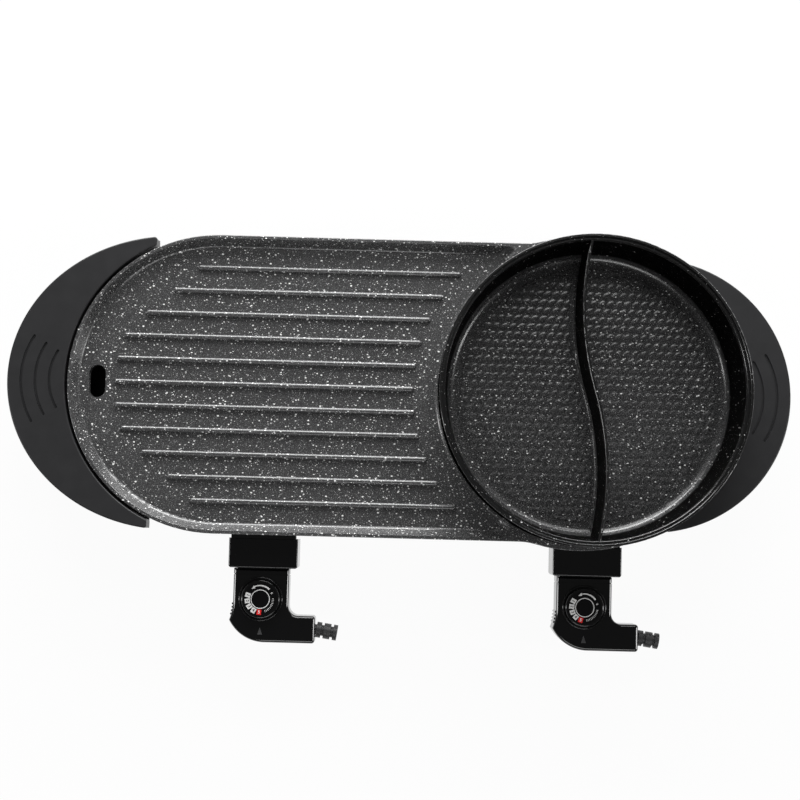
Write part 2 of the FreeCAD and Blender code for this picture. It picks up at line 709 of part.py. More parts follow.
def pot_turn(side):
    """Arc from a lead into the ring: its end on the lead, its middle, its end on the ring."""
    far = POT_LOOP_R + LEAD_R
    lead_x = POT_SOCKET + side * PIN_SPREAD
    cx = lead_x + side * LEAD_R
    cy = -math.sqrt(far ** 2 - (cx - POT_X) ** 2)
    tx = POT_X + (cx - POT_X) * POT_LOOP_R / far
    ty = cy * POT_LOOP_R / far
    ox = (tx + lead_x) / 2 - cx
    oy = (ty + cy) / 2 - cy
    scale = LEAD_R / math.hypot(ox, oy)
    z = POT_TUBE_Z
    return (lead_x, cy, z), (cx + ox * scale, cy + oy * scale, z), (tx, ty, z)


def pot_lead(side, with_drop):
    """Edges from a lead's front end to the ring."""
    on_lead, middle, on_ring = pot_turn(side)
    corners = lead_points(on_lead[0], POT_TUBE_Z, POT_DROP_START)
    if with_drop:
        edges = rounded_path(corners + [on_lead], [LEAD_DROP_R, LEAD_DROP_R]).Edges
    else:
        edges = [line(corners[2], on_lead)]
    return edges + [arc(on_lead, middle, on_ring)]


def pot_path(with_leads):
    """Path of the pot's heater: a ring with both leads running to the front."""
    first = pot_lead(-1, with_leads)
    last = pot_lead(1, with_leads)
    ring = arc(pot_turn(-1)[2], (POT_X, POT_LOOP_R, POT_TUBE_Z), pot_turn(1)[2])
    return Part.Wire(first + [ring] + last[::-1])


def channel(path, x, y, z_under):
    """Cast rib that a heater is set in, swept along the heater's path."""
    half = CHANNEL_WIDTH / 2
    z0 = z_under - CHANNEL_DEPTH
    z1 = z_under + 1.0
    corners = [(x - half, y, z0), (x + half, y, z0), (x + half, y, z1), (x - half, y, z1)]
    return path.makePipeShell([polygon(corners)], True, True)


def grill_tube(radius):
    start = (GRILL_SOCKET - PIN_SPREAD, -SHEATH_END, CONTROL_Z)
    return pipe(grill_path(True), radius, start, (0, 1, 0))


def pot_tube(radius):
    start = (POT_SOCKET - PIN_SPREAD, -SHEATH_END, CONTROL_Z)
    return pipe(pot_path(True), radius, start, (0, 1, 0))


def leg_screw_spots(side):
    """Screw centres under one end: side -1 is the tray end, +1 the pot end."""
    cx = POT_X if side > 0 else GRILL_X
    spots = []
    for angle in LEG_SCREW_ANGLES:
        a = math.radians(angle)
        for up in (-1, 1):
            spots.append((cx + side * LEG_SCREW_RING_R * math.cos(a), up * LEG_SCREW_RING_R * math.sin(a)))
    return spots


def shroud_screw_spots(xs):
    return [(xs - SHROUD_SCREW_X, -SHROUD_SCREW_Y), (xs + SHROUD_SCREW_X, -SHROUD_SCREW_Y)]


def add_socket_bosses(body, xs, under_z):
    """Cast lugs for the shroud's screws and the long boss the probe slides into."""
    half = PROBE_BOSS_WIDTH / 2
    low = CONTROL_Z - PROBE_BOSS_BELOW
    body = body.fuse(box(xs - half, xs + half, -PROBE_BOSS_FRONT, -PROBE_BOSS_BACK, low, under_z + 1))
    for x, y in shroud_screw_spots(xs):
        body = body.fuse(rod_z(x, y, SHROUD_TOP_Z, under_z + 1, CAST_BOSS_R))
    return body


def drill_socket_bosses(body, xs):
    end = PROBE_TIP - PROBE_HOLE_SPARE
    body = body.cut(rod_y(xs, CONTROL_Z, -PROBE_BOSS_FRONT - 1, -end, PROBE_R + PROBE_GAP))
    top = SHROUD_TOP_Z - SHROUD_WALL + SHROUD_SCREW_LENGTH
    for x, y in shroud_screw_spots(xs):
        body = body.cut(rod_z(x, y, SHROUD_TOP_Z - 1, top, SCREW_R + THREAD_FIT))
    return body


def pan_upper():
    """Tray, its ribs and the outside of the pot, still solid inside."""
    body = flange().fuse(tray_block())
    body = body.fuse(pot_block())
    body = cut(body, [tray_hollow(), tray_bevel()])
    for row in range(-5, 6):
        body = body.fuse(rib(row))
    return body


def pan_underside(body):
    grill_lead = GRILL_SOCKET - PIN_SPREAD
    pot_lead_x = POT_SOCKET - PIN_SPREAD
    body = body.fuse(channel(grill_path(False), grill_lead, -GRILL_DROP_START, GRILL_UNDER_Z))
    body = body.fuse(channel(pot_path(False), pot_lead_x, -POT_DROP_START, POT_UNDER_Z))
    body = add_socket_bosses(body, GRILL_SOCKET, GRILL_UNDER_Z)
    body = add_socket_bosses(body, POT_SOCKET, POT_UNDER_Z)
    for side, under in ((-1, GRILL_UNDER_Z), (1, POT_UNDER_Z)):
        for x, y in leg_screw_spots(side):
            body = body.fuse(rod_z(x, y, TAB_TOP_Z, under + 1, CAST_BOSS_R))
    return body.fuse(drain_slot(SPOUT_WALL, GRILL_UNDER_Z - SPOUT_DROP, GRILL_UNDER_Z + 1))


def cast_pan():
    body = pan_underside(pan_upper())
    body = body.cut(drain_slot(0, GRILL_UNDER_Z - SPOUT_DROP - 1, GRILL_FLOOR_Z + 1))
    body = body.cut(pot_hollow())
    body = body.fuse(divider())
    body = body.cut(grill_tube(HEATER_R + HEATER_FIT))
    body = body.cut(pot_tube(HEATER_R + HEATER_FIT))
    body = drill_socket_bosses(body, GRILL_SOCKET)
    body = drill_socket_bosses(body, POT_SOCKET)
    for side in (-1, 1):
        for x, y in leg_screw_spots(side):
            top = TAB_UNDER_Z + SCREW_LENGTH
            body = body.cut(rod_z(x, y, TAB_TOP_Z - 1, top, SCREW_R + THREAD_FIT))
    return body.removeSplitter()


# ---- screws, pins and shrouds -------------------------------------------------------
def cross_recess(x, y, z, head_r, head_h):
    """The space of a cross drive in a head whose face is at height z."""
    half = DRIVE_WIDTH / 2
    reach = head_r * DRIVE_REACH
    top = z + head_h * DRIVE_DEPTH
    one = box(x - reach, x + reach, y - half, y + half, z - 1, top)
    other = box(x - half, x + half, y - reach, y + reach, z - 1, top)
    return one.fuse(other)


def screw(x, y, z, length, r, head_r, head_h):
    """Pan-head screw pointing up, its head under height z."""
    head = rod_z(x, y, z - head_h, z, head_r)
    head = round_edges(head, head_h * 0.35, edges_at(head, z - head_h))
    head = head.cut(cross_recess(x, y, z - head_h, head_r, head_h))
    return head.fuse(rod_z(x, y, z - 0.5, z + length, r)).removeSplitter()


def pan_screws(spots, z, length):
    return Part.makeCompound([screw(x, y, z, length, SCREW_R, SCREW_HEAD_R, SCREW_HEAD_H) for x, y in spots])


def terminal_pins(xs):
    pins = []
    for side in (-1, 1):
        pin = rod_y(xs + side * PIN_SPREAD, CONTROL_Z, -SHEATH_END - PIN_LENGTH, -SHEATH_END, PIN_R)
        tip = [e for e in pin.Edges if e.BoundBox.YMax < -SHEATH_END - PIN_LENGTH + 0.01]
        pins.append(round_edges(pin, PIN_R * 0.6, tip))
    return Part.makeCompound(pins)


def terminal_beads(xs):
    beads = []
    front = -SHEATH_END - BEAD_LENGTH
    for side in (-1, 1):
        x = xs + side * PIN_SPREAD
        bead = rod_y(x, CONTROL_Z, front, -SHEATH_END, BEAD_R)
        beads.append(bead.cut(rod_y(x, CONTROL_Z, front - 1, -SHEATH_END + 1, PIN_R + PIN_FIT)))
    return Part.makeCompound(beads)


def shroud_mouth(xs):
    """The box that the controller's nose goes into."""
    half = SHROUD_WIDTH / 2
    z0 = SHROUD_TOP_Z - SHROUD_HEIGHT
    outer = box(xs - half, xs + half, -SHROUD_FRONT, -SHROUD_WEB + WEB_T, z0, SHROUD_TOP_Z)
    corners = [e for e in upright_edges(outer) if e.BoundBox.YMax < -SHROUD_WEB]
    outer = round_edges(outer, SHROUD_CORNER_R, corners)
    sides = edges_at(outer, z0) + edges_at(outer, SHROUD_TOP_Z)
    outer = round_edges(outer, SHROUD_EDGE_R, sides)
    w = SHROUD_WALL
    inner = box(xs - half + w, xs + half - w, -SHROUD_FRONT - 1, -SHROUD_WEB, z0 + w, SHROUD_TOP_Z - w)
    return outer.cut(inner)


def shroud_roof(xs):
    """Plate behind the mouth, screwed up against the casting's lugs."""
    half = SHROUD_WIDTH / 2 - ROOF_INSET
    y0 = -SHROUD_WEB + WEB_T - 0.5
    roof = box(xs - half, xs + half, y0, -SHROUD_BACK, SHROUD_TOP_Z - SHROUD_WALL, SHROUD_TOP_Z)
    low = SHROUD_TOP_Z - GUSSET_HEIGHT
    for side in (-1, 1):
        x0 = xs + side * (half - SHROUD_WALL / 2) - SHROUD_WALL / 2
        roof = roof.fuse(box(x0, x0 + SHROUD_WALL, y0, -SHROUD_BACK, low, SHROUD_TOP_Z))
    return roof


def socket_shroud(xs):
    body = shroud_mouth(xs).fuse(shroud_roof(xs))
    y0 = -SHROUD_WEB - 1
    y1 = -SHROUD_WEB + WEB_T + 1
    for side in (-1, 1):
        body = body.cut(rod_y(xs + side * PIN_SPREAD, CONTROL_Z, y0, y1, HEATER_R + HOLE_GAP))
    body = body.cut(rod_y(xs, CONTROL_Z, y0, y1, PROBE_R + 2 * HOLE_GAP))
    low = SHROUD_TOP_Z - SHROUD_WALL - 1
    for x, y in shroud_screw_spots(xs):
        body = body.cut(rod_z(x, y, low, SHROUD_TOP_Z + 1, SCREW_R + SCREW_CLEARANCE))
    return body.removeSplitter()


# ---- controllers ----------------------------------------------------------------------
# Each is drawn with the middle of its socket's front edge at x = 0, y = 0.
def swell_x(y, inset):
    """Left side of the case where it swells out, at distance y in front of the socket."""
    share = (y - BULGE_START) / (BULGE_END - BULGE_START)
    return -BODY_LEFT + inset - BULGE_OUT * share ** 2


def heel_arc(inset):
    """Big arc from the swell's corner to the straight end, and its first point."""
    drop = BODY_LENGTH - BULGE_END
    reach = HEEL_X + BODY_LEFT + BULGE_OUT
    r = (drop ** 2 + reach ** 2) / (2 * drop)
    cy = -BODY_LENGTH + r
    r = r - inset
    x0 = swell_x(BULGE_END, inset)
    a0 = math.acos((x0 - HEEL_X) / r)
    points = []
    for share in (0.0, 0.5, 1.0):
        a = -a0 + (a0 - math.pi / 2) * share
        points.append((HEEL_X + r * math.cos(a), cy + r * math.sin(a), 0))
    return points


def corner_arc(cx, cy, r, start, turn):
    """Arc about (cx, cy) from the start angle through the turn, in degrees."""
    points = []
    for share in (0.0, 0.5, 1.0):
        a = math.radians(start + turn * share)
        points.append((cx + r * math.cos(a), cy + r * math.sin(a), 0))
    return arc(*points)


def case_outline(inset):
    left = -BODY_LEFT + inset
    right = BODY_RIGHT - inset
    back = -PLUG_GAP - inset
    front = -BODY_LENGTH + inset
    end = FOOT_REACH - inset
    shelf = -FOOT_START - inset
    inner_r = FOOT_INNER_R + inset
    c = max(FOOT_CORNER_R - inset, 0.5)
    heel = heel_arc(inset)
    halfway = (BULGE_START + BULGE_END) / 2
    edges = [
        line((right, back, 0), (left, back, 0)),
        line((left, back, 0), (left, -BULGE_START, 0)),
        arc((left, -BULGE_START, 0), (swell_x(halfway, inset), -halfway, 0), heel[0]),
        arc(*heel),
        line(heel[2], (end - c, front, 0)),
        corner_arc(end - c, front + c, c, -90, 90),
        line((end, front + c, 0), (end, shelf - c, 0)),
        corner_arc(end - c, shelf - c, c, 0, 90),
        line((end - c, shelf, 0), (right + inner_r, shelf, 0)),
        corner_arc(right + inner_r, shelf + inner_r, inner_r, 270, -90),
        line((right, shelf + inner_r, 0), (right, back, 0)),
    ]
    return Part.Wire(edges)


def nose(z0, z1):
    half = NOSE_WIDTH / 2
    return box(-half, half, -PLUG_GAP - BODY_WALL, NOSE_LENGTH, z0, z1)


def nose_passage(z0, z1):
    """The inside of the nose, open to the case behind it and at its front."""
    half = NOSE_WIDTH / 2 - NOSE_WALL
    return box(-half, half, -PLUG_GAP - 2 * BODY_WALL, NOSE_LENGTH + 1, z0, z1)


def collar_groove():
    """Frame-shaped groove behind the collar, all round the case."""
    y1 = -PLUG_GAP - COLLAR_LENGTH
    y0 = y1 - GROOVE_WIDTH
    d = GROOVE_DEPTH
    frame = box(-BODY_LEFT - 1, BODY_RIGHT + 1, y0, y1, BODY_UNDER_Z - 1, BODY_TOP_Z + 1)
    return frame.cut(box(-BODY_LEFT + d, BODY_RIGHT - d, y0 - 1, y1 + 1, BODY_UNDER_Z + d, BODY_TOP_Z - d))


def add_side_ridges(block, z0, z1):
    """Small upright ridges on the swell, for the fingers that pull the plug."""
    for i in range(GRIP_RIDGES):
        y = GRIP_RIDGE_START + i * GRIP_RIDGE_PITCH
        block = block.fuse(rod_z(swell_x(y, 0), -y, z0, z1, GRIP_RIDGE_R))
    return block


def relief_placed(shape):
    shape.rotate(V(0, 0, 0), V(0, 0, 1), -RELIEF_TILT)
    shape.translate(V(FOOT_REACH, -RELIEF_Y, CONTROL_Z))
    return shape


def relief_hole():
    return relief_placed(rod_x(0, 0, -2 * BODY_WALL, 2 * BODY_WALL, RELIEF_NECK_R + BLOCK_FIT))


def case_cuts(shell):
    return cut(shell, [collar_groove(), relief_hole()])


def upper_shell():
    block = prism(case_outline(0), CONTROL_Z, BODY_TOP_Z)
    block = round_edges(block, BODY_EDGE_R, edges_at(block, BODY_TOP_Z))
    block = add_side_ridges(block, CONTROL_Z, BODY_TOP_Z - BODY_EDGE_R)
    nose_top = CONTROL_Z + NOSE_HEIGHT / 2
    block = block.fuse(nose(CONTROL_Z, nose_top))
    block = block.cut(prism(case_outline(BODY_WALL), CONTROL_Z - 1, BODY_TOP_Z - BODY_WALL))
    block = block.cut(nose_passage(CONTROL_Z - 1, nose_top - NOSE_WALL))
    for x, y in CASE_SCREW_SPOTS:
        block = block.fuse(rod_z(x, -y, CONTROL_Z, BODY_TOP_Z - BODY_WALL / 2, CASE_POST_R))
        top = BODY_UNDER_Z + CASE_HEAD_RECESS + CASE_SCREW_LENGTH
        block = block.cut(rod_z(x, -y, CONTROL_Z - 1, top, CASE_SCREW_R + THREAD_FIT))
    block = block.cut(rod_z(BODY_MID_X, -DIAL_Y, CONTROL_Z, BODY_TOP_Z + 1, SPINDLE_R + SPINDLE_GAP))
    seat = BODY_TOP_Z - BEZEL_SEAT
    block = block.cut(rod_z(BODY_MID_X, -DIAL_Y, seat, BODY_TOP_Z + 1, BEZEL_R + BLOCK_FIT))
    block = block.cut(lens_prism(0, BODY_TOP_Z - 2 * BODY_WALL, BODY_TOP_Z + 1))
    return case_cuts(block).removeSplitter()


def lower_shell():
    block = prism(case_outline(0), BODY_UNDER_Z, CONTROL_Z)
    block = round_edges(block, BODY_EDGE_R, edges_at(block, BODY_UNDER_Z))
    block = add_side_ridges(block, BODY_UNDER_Z + BODY_EDGE_R, CONTROL_Z)
    nose_under = CONTROL_Z - NOSE_HEIGHT / 2
    block = block.fuse(nose(nose_under, CONTROL_Z))
    block = block.cut(prism(case_outline(BODY_WALL), BODY_UNDER_Z + BODY_WALL, CONTROL_Z + 1))
    block = block.cut(nose_passage(nose_under + NOSE_WALL, CONTROL_Z + 1))
    recess_top = BODY_UNDER_Z + CASE_HEAD_RECESS
    for x, y in CASE_SCREW_SPOTS:
        block = block.fuse(rod_z(x, -y, BODY_UNDER_Z + BODY_WALL / 2, CONTROL_Z, CASE_POST_R))
        block = block.cut(rod_z(x, -y, BODY_UNDER_Z - 1, recess_top, CASE_SCREW_HEAD_R + BLOCK_FIT))
        block = block.cut(rod_z(x, -y, BODY_UNDER_Z, CONTROL_Z + 1, CASE_SCREW_R + SCREW_CLEARANCE))
    return case_cuts(block).removeSplitter()


def case_screws():
    z = BODY_UNDER_Z + CASE_HEAD_RECESS
    long = CASE_SCREW_LENGTH - 1
    screws = []
    for x, y in CASE_SCREW_SPOTS:
        screws.append(screw(x, -y, z, long, CASE_SCREW_R, CASE_SCREW_HEAD_R, CASE_SCREW_HEAD_H))
    return Part.makeCompound(screws)


def lens_prism(inset, z0, z1):
    half = LENS_WIDTH / 2 - inset
    near = -LENS_NEAR - 2 * inset
    far = -LENS_FAR + inset
    x = BODY_MID_X
    return prism(polygon([(x, near, 0), (x - half, far, 0), (x + half, far, 0)]), z0, z1)


def pilot_lens():
    return lens_prism(LENS_GAP, BODY_TOP_Z - BODY_WALL - LENS_DEPTH, BODY_TOP_Z + LENS_PROUD)


def pilot_lamp():
    z = BODY_TOP_Z - BODY_WALL - LENS_DEPTH - LENS_GAP - LAMP_R
    y0 = -(LENS_NEAR + LENS_FAR) / 2 - LAMP_LENGTH / 2
    lamp = rod_y(BODY_MID_X, z, y0, y0 + LAMP_LENGTH, LAMP_R)
    return round_edges(lamp, LAMP_R * 0.5, [e for e in lamp.Edges if e.BoundBox.YLength < 0.01])


def contact_block():
    half = NOSE_WIDTH / 2 - NOSE_WALL - BLOCK_FIT
    tall = NOSE_HEIGHT / 2 - NOSE_WALL - BLOCK_FIT
    front = NOSE_LENGTH - BLOCK_SETBACK
    block = box(-half, half, front - BLOCK_LENGTH, front, CONTROL_Z - tall, CONTROL_Z + tall)
    y0 = front - BLOCK_LENGTH - 1
    outer = PIN_R + CONTACT_GAP + CONTACT_WALL + PIN_FIT
    for side in (-1, 1):
        block = block.cut(rod_y(side * PIN_SPREAD, CONTROL_Z, y0, front + 1, outer))
    return block.cut(rod_y(0, CONTROL_Z, y0, front + 1, PROBE_R + PIN_FIT))


def contacts():
    inner = PIN_R + CONTACT_GAP
    y1 = NOSE_LENGTH - CONTACT_INSET
    sleeves = []
    for side in (-1, 1):
        x = side * PIN_SPREAD
        sleeve = rod_y(x, CONTROL_Z, y1 - CONTACT_LENGTH, y1, inner + CONTACT_WALL)
        sleeves.append(sleeve.cut(rod_y(x, CONTROL_Z, y1 - CONTACT_LENGTH + CONTACT_WALL, y1 + 1, inner)))
    return Part.makeCompound(sleeves)


def probe():
    y0 = NOSE_LENGTH - BLOCK_SETBACK - BLOCK_LENGTH - CONTACT_INSET
    y1 = SHROUD_FRONT - PROBE_TIP
    rod = rod_y(0, CONTROL_Z, y0, y1, PROBE_R)
    return round_edges(rod, PROBE_R * 0.6, [e for e in rod.Edges if e.BoundBox.YMin > y1 - 0.01])


def thermostat():
    half = SWITCH_WIDTH / 2
    deep = SWITCH_LENGTH / 2
    z0 = SWITCH_UNDER_Z + PLATE_GAP
    body = box(BODY_MID_X - half, BODY_MID_X + half, -DIAL_Y - deep, -DIAL_Y + deep, z0, z0 + SWITCH_HEIGHT)
    body = round_edges(body, SWITCH_CORNER_R, upright_edges(body))
    top = z0 + SWITCH_HEIGHT
    return body.cut(rod_z(BODY_MID_X, -DIAL_Y, top - SPINDLE_SEAT, top + 1, SPINDLE_R + SPINDLE_GAP))


def strain_relief():
    """Rubber sleeve with a neck gripped by the case and notched rings outside."""
    lean = math.tan(math.radians(RELIEF_TILT))
    wall = BODY_WALL + PLATE_GAP + RELIEF_FLANGE_R * lean
    profile = [
        (-wall - RELIEF_FLANGE_T, RELIEF_FLANGE_R), (-wall, RELIEF_FLANGE_R),
        (-wall, RELIEF_NECK_R),
    ]
    s = PLATE_GAP + RELIEF_R * lean
    inner = RELIEF_NECK_R
    for width in RELIEF_RINGS:
        profile += [(s, inner), (s, RELIEF_R), (s + width, RELIEF_R), (s + width, RELIEF_CORE_R)]
        s += width + RELIEF_NOTCH
        inner = RELIEF_CORE_R
    end = profile[-1][0]
    profile[-1] = (end, RELIEF_BORE_R)
    profile.append((-wall - RELIEF_FLANGE_T, RELIEF_BORE_R))
    face = Part.Face(polygon([(x, r, 0) for x, r in profile]))
    return relief_placed(face.revolve(V(0, 0, 0), V(1, 0, 0), 360))


def bezel():
    z0 = BODY_TOP_Z - BEZEL_SEAT
    z1 = BODY_TOP_Z + BEZEL_HEIGHT
    ring = rod_z(BODY_MID_X, -DIAL_Y, z0, z1, BEZEL_R)
    ring = ring.cut(rod_z(BODY_MID_X, -DIAL_Y, z0 - 1, z1 + 1, BEZEL_R - BEZEL_WIDTH))
    return round_edges(ring, BEZEL_WIDTH * 0.35, edges_at(ring, z1))


def knob():
    z0 = BODY_TOP_Z + KNOB_LIFT
    body = rod_z(BODY_MID_X, -DIAL_Y, z0, KNOB_TOP_Z, KNOB_R)
    body = round_edges(body, KNOB_EDGE_R, edges_at(body, KNOB_TOP_Z))
    body = body.cut(rod_z(BODY_MID_X, -DIAL_Y, KNOB_TOP_Z - PLATE_T, KNOB_TOP_Z + 1, PLATE_R + PLATE_GAP))
    roof = KNOB_TOP_Z - PLATE_T - KNOB_ROOF
    return body.cut(rod_z(BODY_MID_X, -DIAL_Y, z0 - 1, roof, SPINDLE_R + PIN_FIT))


def dial_plate():
    return rod_z(BODY_MID_X, -DIAL_Y, KNOB_TOP_Z - PLATE_T, KNOB_TOP_Z, PLATE_R)


def spindle():
    z0 = SWITCH_UNDER_Z + PLATE_GAP + SWITCH_HEIGHT - SPINDLE_SEAT + SPINDLE_GAP
    return rod_z(BODY_MID_X, -DIAL_Y, z0, KNOB_TOP_Z - PLATE_T - KNOB_ROOF, SPINDLE_R)


# ---- handles, legs and feet ------------------------------------------------------------
def wing_axes(side):
    """Half length and half width of a handle's outline."""
    if side > 0:
        return RIGHT_HALF_LENGTH, RIGHT_HALF_WIDTH
    return LEFT_HALF_LENGTH, LEFT_HALF_WIDTH


def joint_circle(side):
    """Centre and radius of the round edge where a handle meets the casting."""
    if side > 0:
        return POT_X, POT_JOINT_R
    return GRILL_X, TRAY_JOINT_R


def horn_width(side, back):
    """Width of a handle along Y, at a distance back from its end."""
    half_length, half_width = wing_axes(side)
    pan_x, joint_r = joint_circle(side)
    outer = half_width * math.sqrt(1 - (1 - back / half_length) ** 2)
    reach = HALF_LENGTH - back - side * pan_x
    return outer - math.sqrt(joint_r ** 2 - reach ** 2)


def horn_end(side):
    """Distance from a handle's end to its tips, found by halving."""
    width = RIGHT_TIP_WIDTH if side > 0 else LEFT_TIP_WIDTH
    pan_x, joint_r = joint_circle(side)
    near = HALF_LENGTH - side * pan_x - joint_r
    far = wing_axes(side)[0]
    for _ in range(40):
        middle = (near + far) / 2
        if horn_width(side, middle) > width:
            near = middle
        else:
            far = middle
    return near


def crescent(side, grow, tip, z0, z1, tuck=0):
    """Handle outline at one end, smaller all round by grow, its hollow edge moved in by tuck."""
    half_length, half_width = wing_axes(side)
    cx = side * (HALF_LENGTH - half_length)
    a = half_length - grow
    b = half_width - grow
    long_point = V(cx + a, 0, 0)
    wide_point = V(cx, b, 0)
    if a < b:
        long_point, wide_point = V(cx, b, 0), V(cx - a, 0, 0)
    outline = Part.Wire(Part.Ellipse(long_point, wide_point, V(cx, 0, 0)).toShape())
    disc = prism(outline, z0, z1)
    pan_x, joint_r = joint_circle(side)
    disc = disc.cut(rod_z(pan_x, 0, z0 - 1, z1 + 1, joint_r + grow - tuck))
    reach = side * HALF_LENGTH
    edge = side * (HALF_LENGTH - tip)
    keep = box(min(edge, reach), max(edge, reach), -b - 1, b + 1, z0 - 1, z1 + 1)
    return disc.common(keep)


def grip_groove(side, radius):
    """Shallow arc pressed into the top of a handle, with round ends."""
    cx = side * (HALF_LENGTH - GRIP_X)
    z0 = WING_TOP_Z - GRIP_DEPTH
    start = -GRIP_HALF_ANGLE if side > 0 else 180 - GRIP_HALF_ANGLE
    z1 = WING_TOP_Z + 1
    x0 = radius - GRIP_WIDTH / 2
    x1 = radius + GRIP_WIDTH / 2
    face = Part.Face(polygon([(x0, 0, z0), (x1, 0, z0), (x1, 0, z1), (x0, 0, z1)]))
    groove = face.revolve(V(0, 0, 0), V(0, 0, 1), 2 * GRIP_HALF_ANGLE)
    for angle in (0, 2 * GRIP_HALF_ANGLE):
        a = math.radians(angle)
        groove = groove.fuse(rod_z(radius * math.cos(a), radius * math.sin(a), z0, z1, GRIP_WIDTH / 2))
    groove.rotate(V(0, 0, 0), V(0, 0, 1), start)
    groove.translate(V(cx, 0, 0))
    return groove


def handle_screw_spots(side):
    """One screw at the middle of the grip and one near each tip."""
    pan_x, joint_r = joint_circle(side)
    half_length, half_width = wing_axes(side)
    y = HANDLE_SCREW_Y
    inner = pan_x + side * math.sqrt(joint_r ** 2 - y ** 2)
    bow = half_length * (1 - math.sqrt(1 - (y / half_width) ** 2))
    outer = side * (HALF_LENGTH - bow)
    middle = (inner + outer) / 2
    return [(side * (HALF_LENGTH - HANDLE_SCREW_BACK), 0.0), (middle, -y), (middle, y)]


def handle_cover(side):
    tip = horn_end(side)
    tip_r = RIGHT_TIP_R if side > 0 else LEFT_TIP_R
    tip_solid = RIGHT_TIP_SOLID if side > 0 else LEFT_TIP_SOLID
    body = crescent(side, 0, tip, WING_UNDER_Z, WING_TOP_Z)
    body = round_edges(body, tip_r, upright_edges(body))
    body = round_edges(body, WING_EDGE_R, edges_at(body, WING_TOP_Z))
    body = body.cut(crescent(side, WING_WALL, tip - tip_solid, WING_UNDER_Z - 1, WING_TOP_Z - WING_WALL))
    for x, y in handle_screw_spots(side):
        body = body.fuse(rod_z(x, y, WING_UNDER_Z, WING_TOP_Z - WING_WALL / 2, HANDLE_BOSS_R))
        top = LEG_PLATE_Z + HANDLE_SCREW_LENGTH
        body = body.cut(rod_z(x, y, WING_UNDER_Z - 1, top, SCREW_R + THREAD_FIT))
    for radius in GRIP_RADII:
        body = body.cut(grip_groove(side, radius))
    return body.removeSplitter()


def leg_column(side, up, grow, floor_z, top_z):
    tip = horn_end(side)
    shape = crescent(side, LEG_INSET + grow, tip, floor_z, top_z)
    y0, y1 = sorted((up * (LEG_INNER_Y + grow), up * (LEG_OUTER_Y - grow)))
    return shape.common(box(-HALF_LENGTH, HALF_LENGTH, y0, y1, floor_z - 1, top_z + 1))


def leg_tab(side, up):
    """Flat arm from a leg to the screws under the casting."""
    pan_x, joint_r = joint_circle(side)
    outer = joint_r + LEG_INSET + LEG_WALL / 2
    low = (TAB_INNER_R, 0, TAB_UNDER_Z), (outer, 0, TAB_UNDER_Z)
    high = (outer, 0, TAB_TOP_Z), (TAB_INNER_R, 0, TAB_TOP_Z)
    face = Part.Face(polygon(low + high))
    arm = face.revolve(V(0, 0, 0), V(0, 0, 1), TAB_END_ANGLE - TAB_BEGIN_ANGLE)
    start = TAB_BEGIN_ANGLE if side * up > 0 else -TAB_END_ANGLE
    arm.rotate(V(0, 0, 0), V(0, 0, 1), start)
    if side < 0:
        arm.rotate(V(0, 0, 0), V(0, 0, 1), 180)
    arm.translate(V(pan_x, 0, 0))
    return arm


def drip_rail(up):
    """Angle under the arm and along the leg that carries the drip tray's edge."""
    x0 = DRIP_X + RAIL_SETBACK
    x1 = x0 + RAIL_LENGTH
    y = up * LEG_INNER_Y
    inner = up * (LEG_INNER_Y - RAIL_T)
    lip = up * (LEG_INNER_Y - RAIL_LEDGE)
    root = up * (LEG_INNER_Y + RAIL_T)
    upright = box(x0, x1, min(inner, root), max(inner, root), RAIL_TOP_Z - RAIL_T, TAB_UNDER_Z + RAIL_T)
    ledge = box(x0, x1, min(lip, y), max(lip, y), RAIL_TOP_Z - RAIL_T, RAIL_TOP_Z)
    return upright.fuse(ledge)


def pad_spots(side):
    x = HALF_LENGTH - (RIGHT_PAD_X if side > 0 else LEFT_PAD_X)
    return [(side * x, -PAD_Y), (side * x, PAD_Y)]


def leg_base(side):
    tip = horn_end(side)
    tuck = RIGHT_PLATE_TUCK if side > 0 else LEFT_PLATE_TUCK
    body = crescent(side, PLATE_INSET, tip - 2 * PLATE_INSET, LEG_PLATE_Z, WING_UNDER_Z, tuck)
    for up in (-1, 1):
        body = body.fuse(leg_column(side, up, 0, LEG_BOTTOM_Z, LEG_PLATE_Z + 0.5))
        body = body.fuse(leg_tab(side, up))
        if side < 0:
            body = body.fuse(drip_rail(up))
    for up in (-1, 1):
        body = body.cut(leg_column(side, up, LEG_WALL, LEG_BOTTOM_Z + LEG_FLOOR, WING_UNDER_Z + 1))
    for x, y in pad_spots(side):
        body = body.cut(rod_z(x, y, LEG_BOTTOM_Z - 1, LEG_BOTTOM_Z + LEG_FLOOR + 1, PAD_STEM_R + PAD_FIT))
    for x, y in leg_screw_spots(side):
        body = body.cut(rod_z(x, y, TAB_UNDER_Z - 1, TAB_TOP_Z + 1, SCREW_R + SCREW_CLEARANCE))
    for x, y in handle_screw_spots(side):
        body = body.cut(rod_z(x, y, LEG_PLATE_Z - 1, WING_UNDER_Z + 1, SCREW_R + SCREW_CLEARANCE))
    return body.removeSplitter()


def rubber_foot(x, y):
    """Round pad with a stem and a button that snaps through the leg's floor."""
    floor = LEG_BOTTOM_Z + LEG_FLOOR
    pad = rod_z(x, y, 0, LEG_BOTTOM_Z, PAD_R)
    pad = round_edges(pad, PAD_EDGE_R, edges_at(pad, 0))
    stem = rod_z(x, y, LEG_BOTTOM_Z - 0.5, floor + PAD_FIT + 0.5, PAD_STEM_R)
    button = rod_z(x, y, floor + PAD_FIT, floor + PAD_FIT + PAD_BUTTON_H, PAD_BUTTON_R)
    button = round_edges(button, PAD_BUTTON_EDGE_R, edges_at(button, floor + PAD_FIT + PAD_BUTTON_H))
    return pad.fuse(stem).fuse(button).removeSplitter()


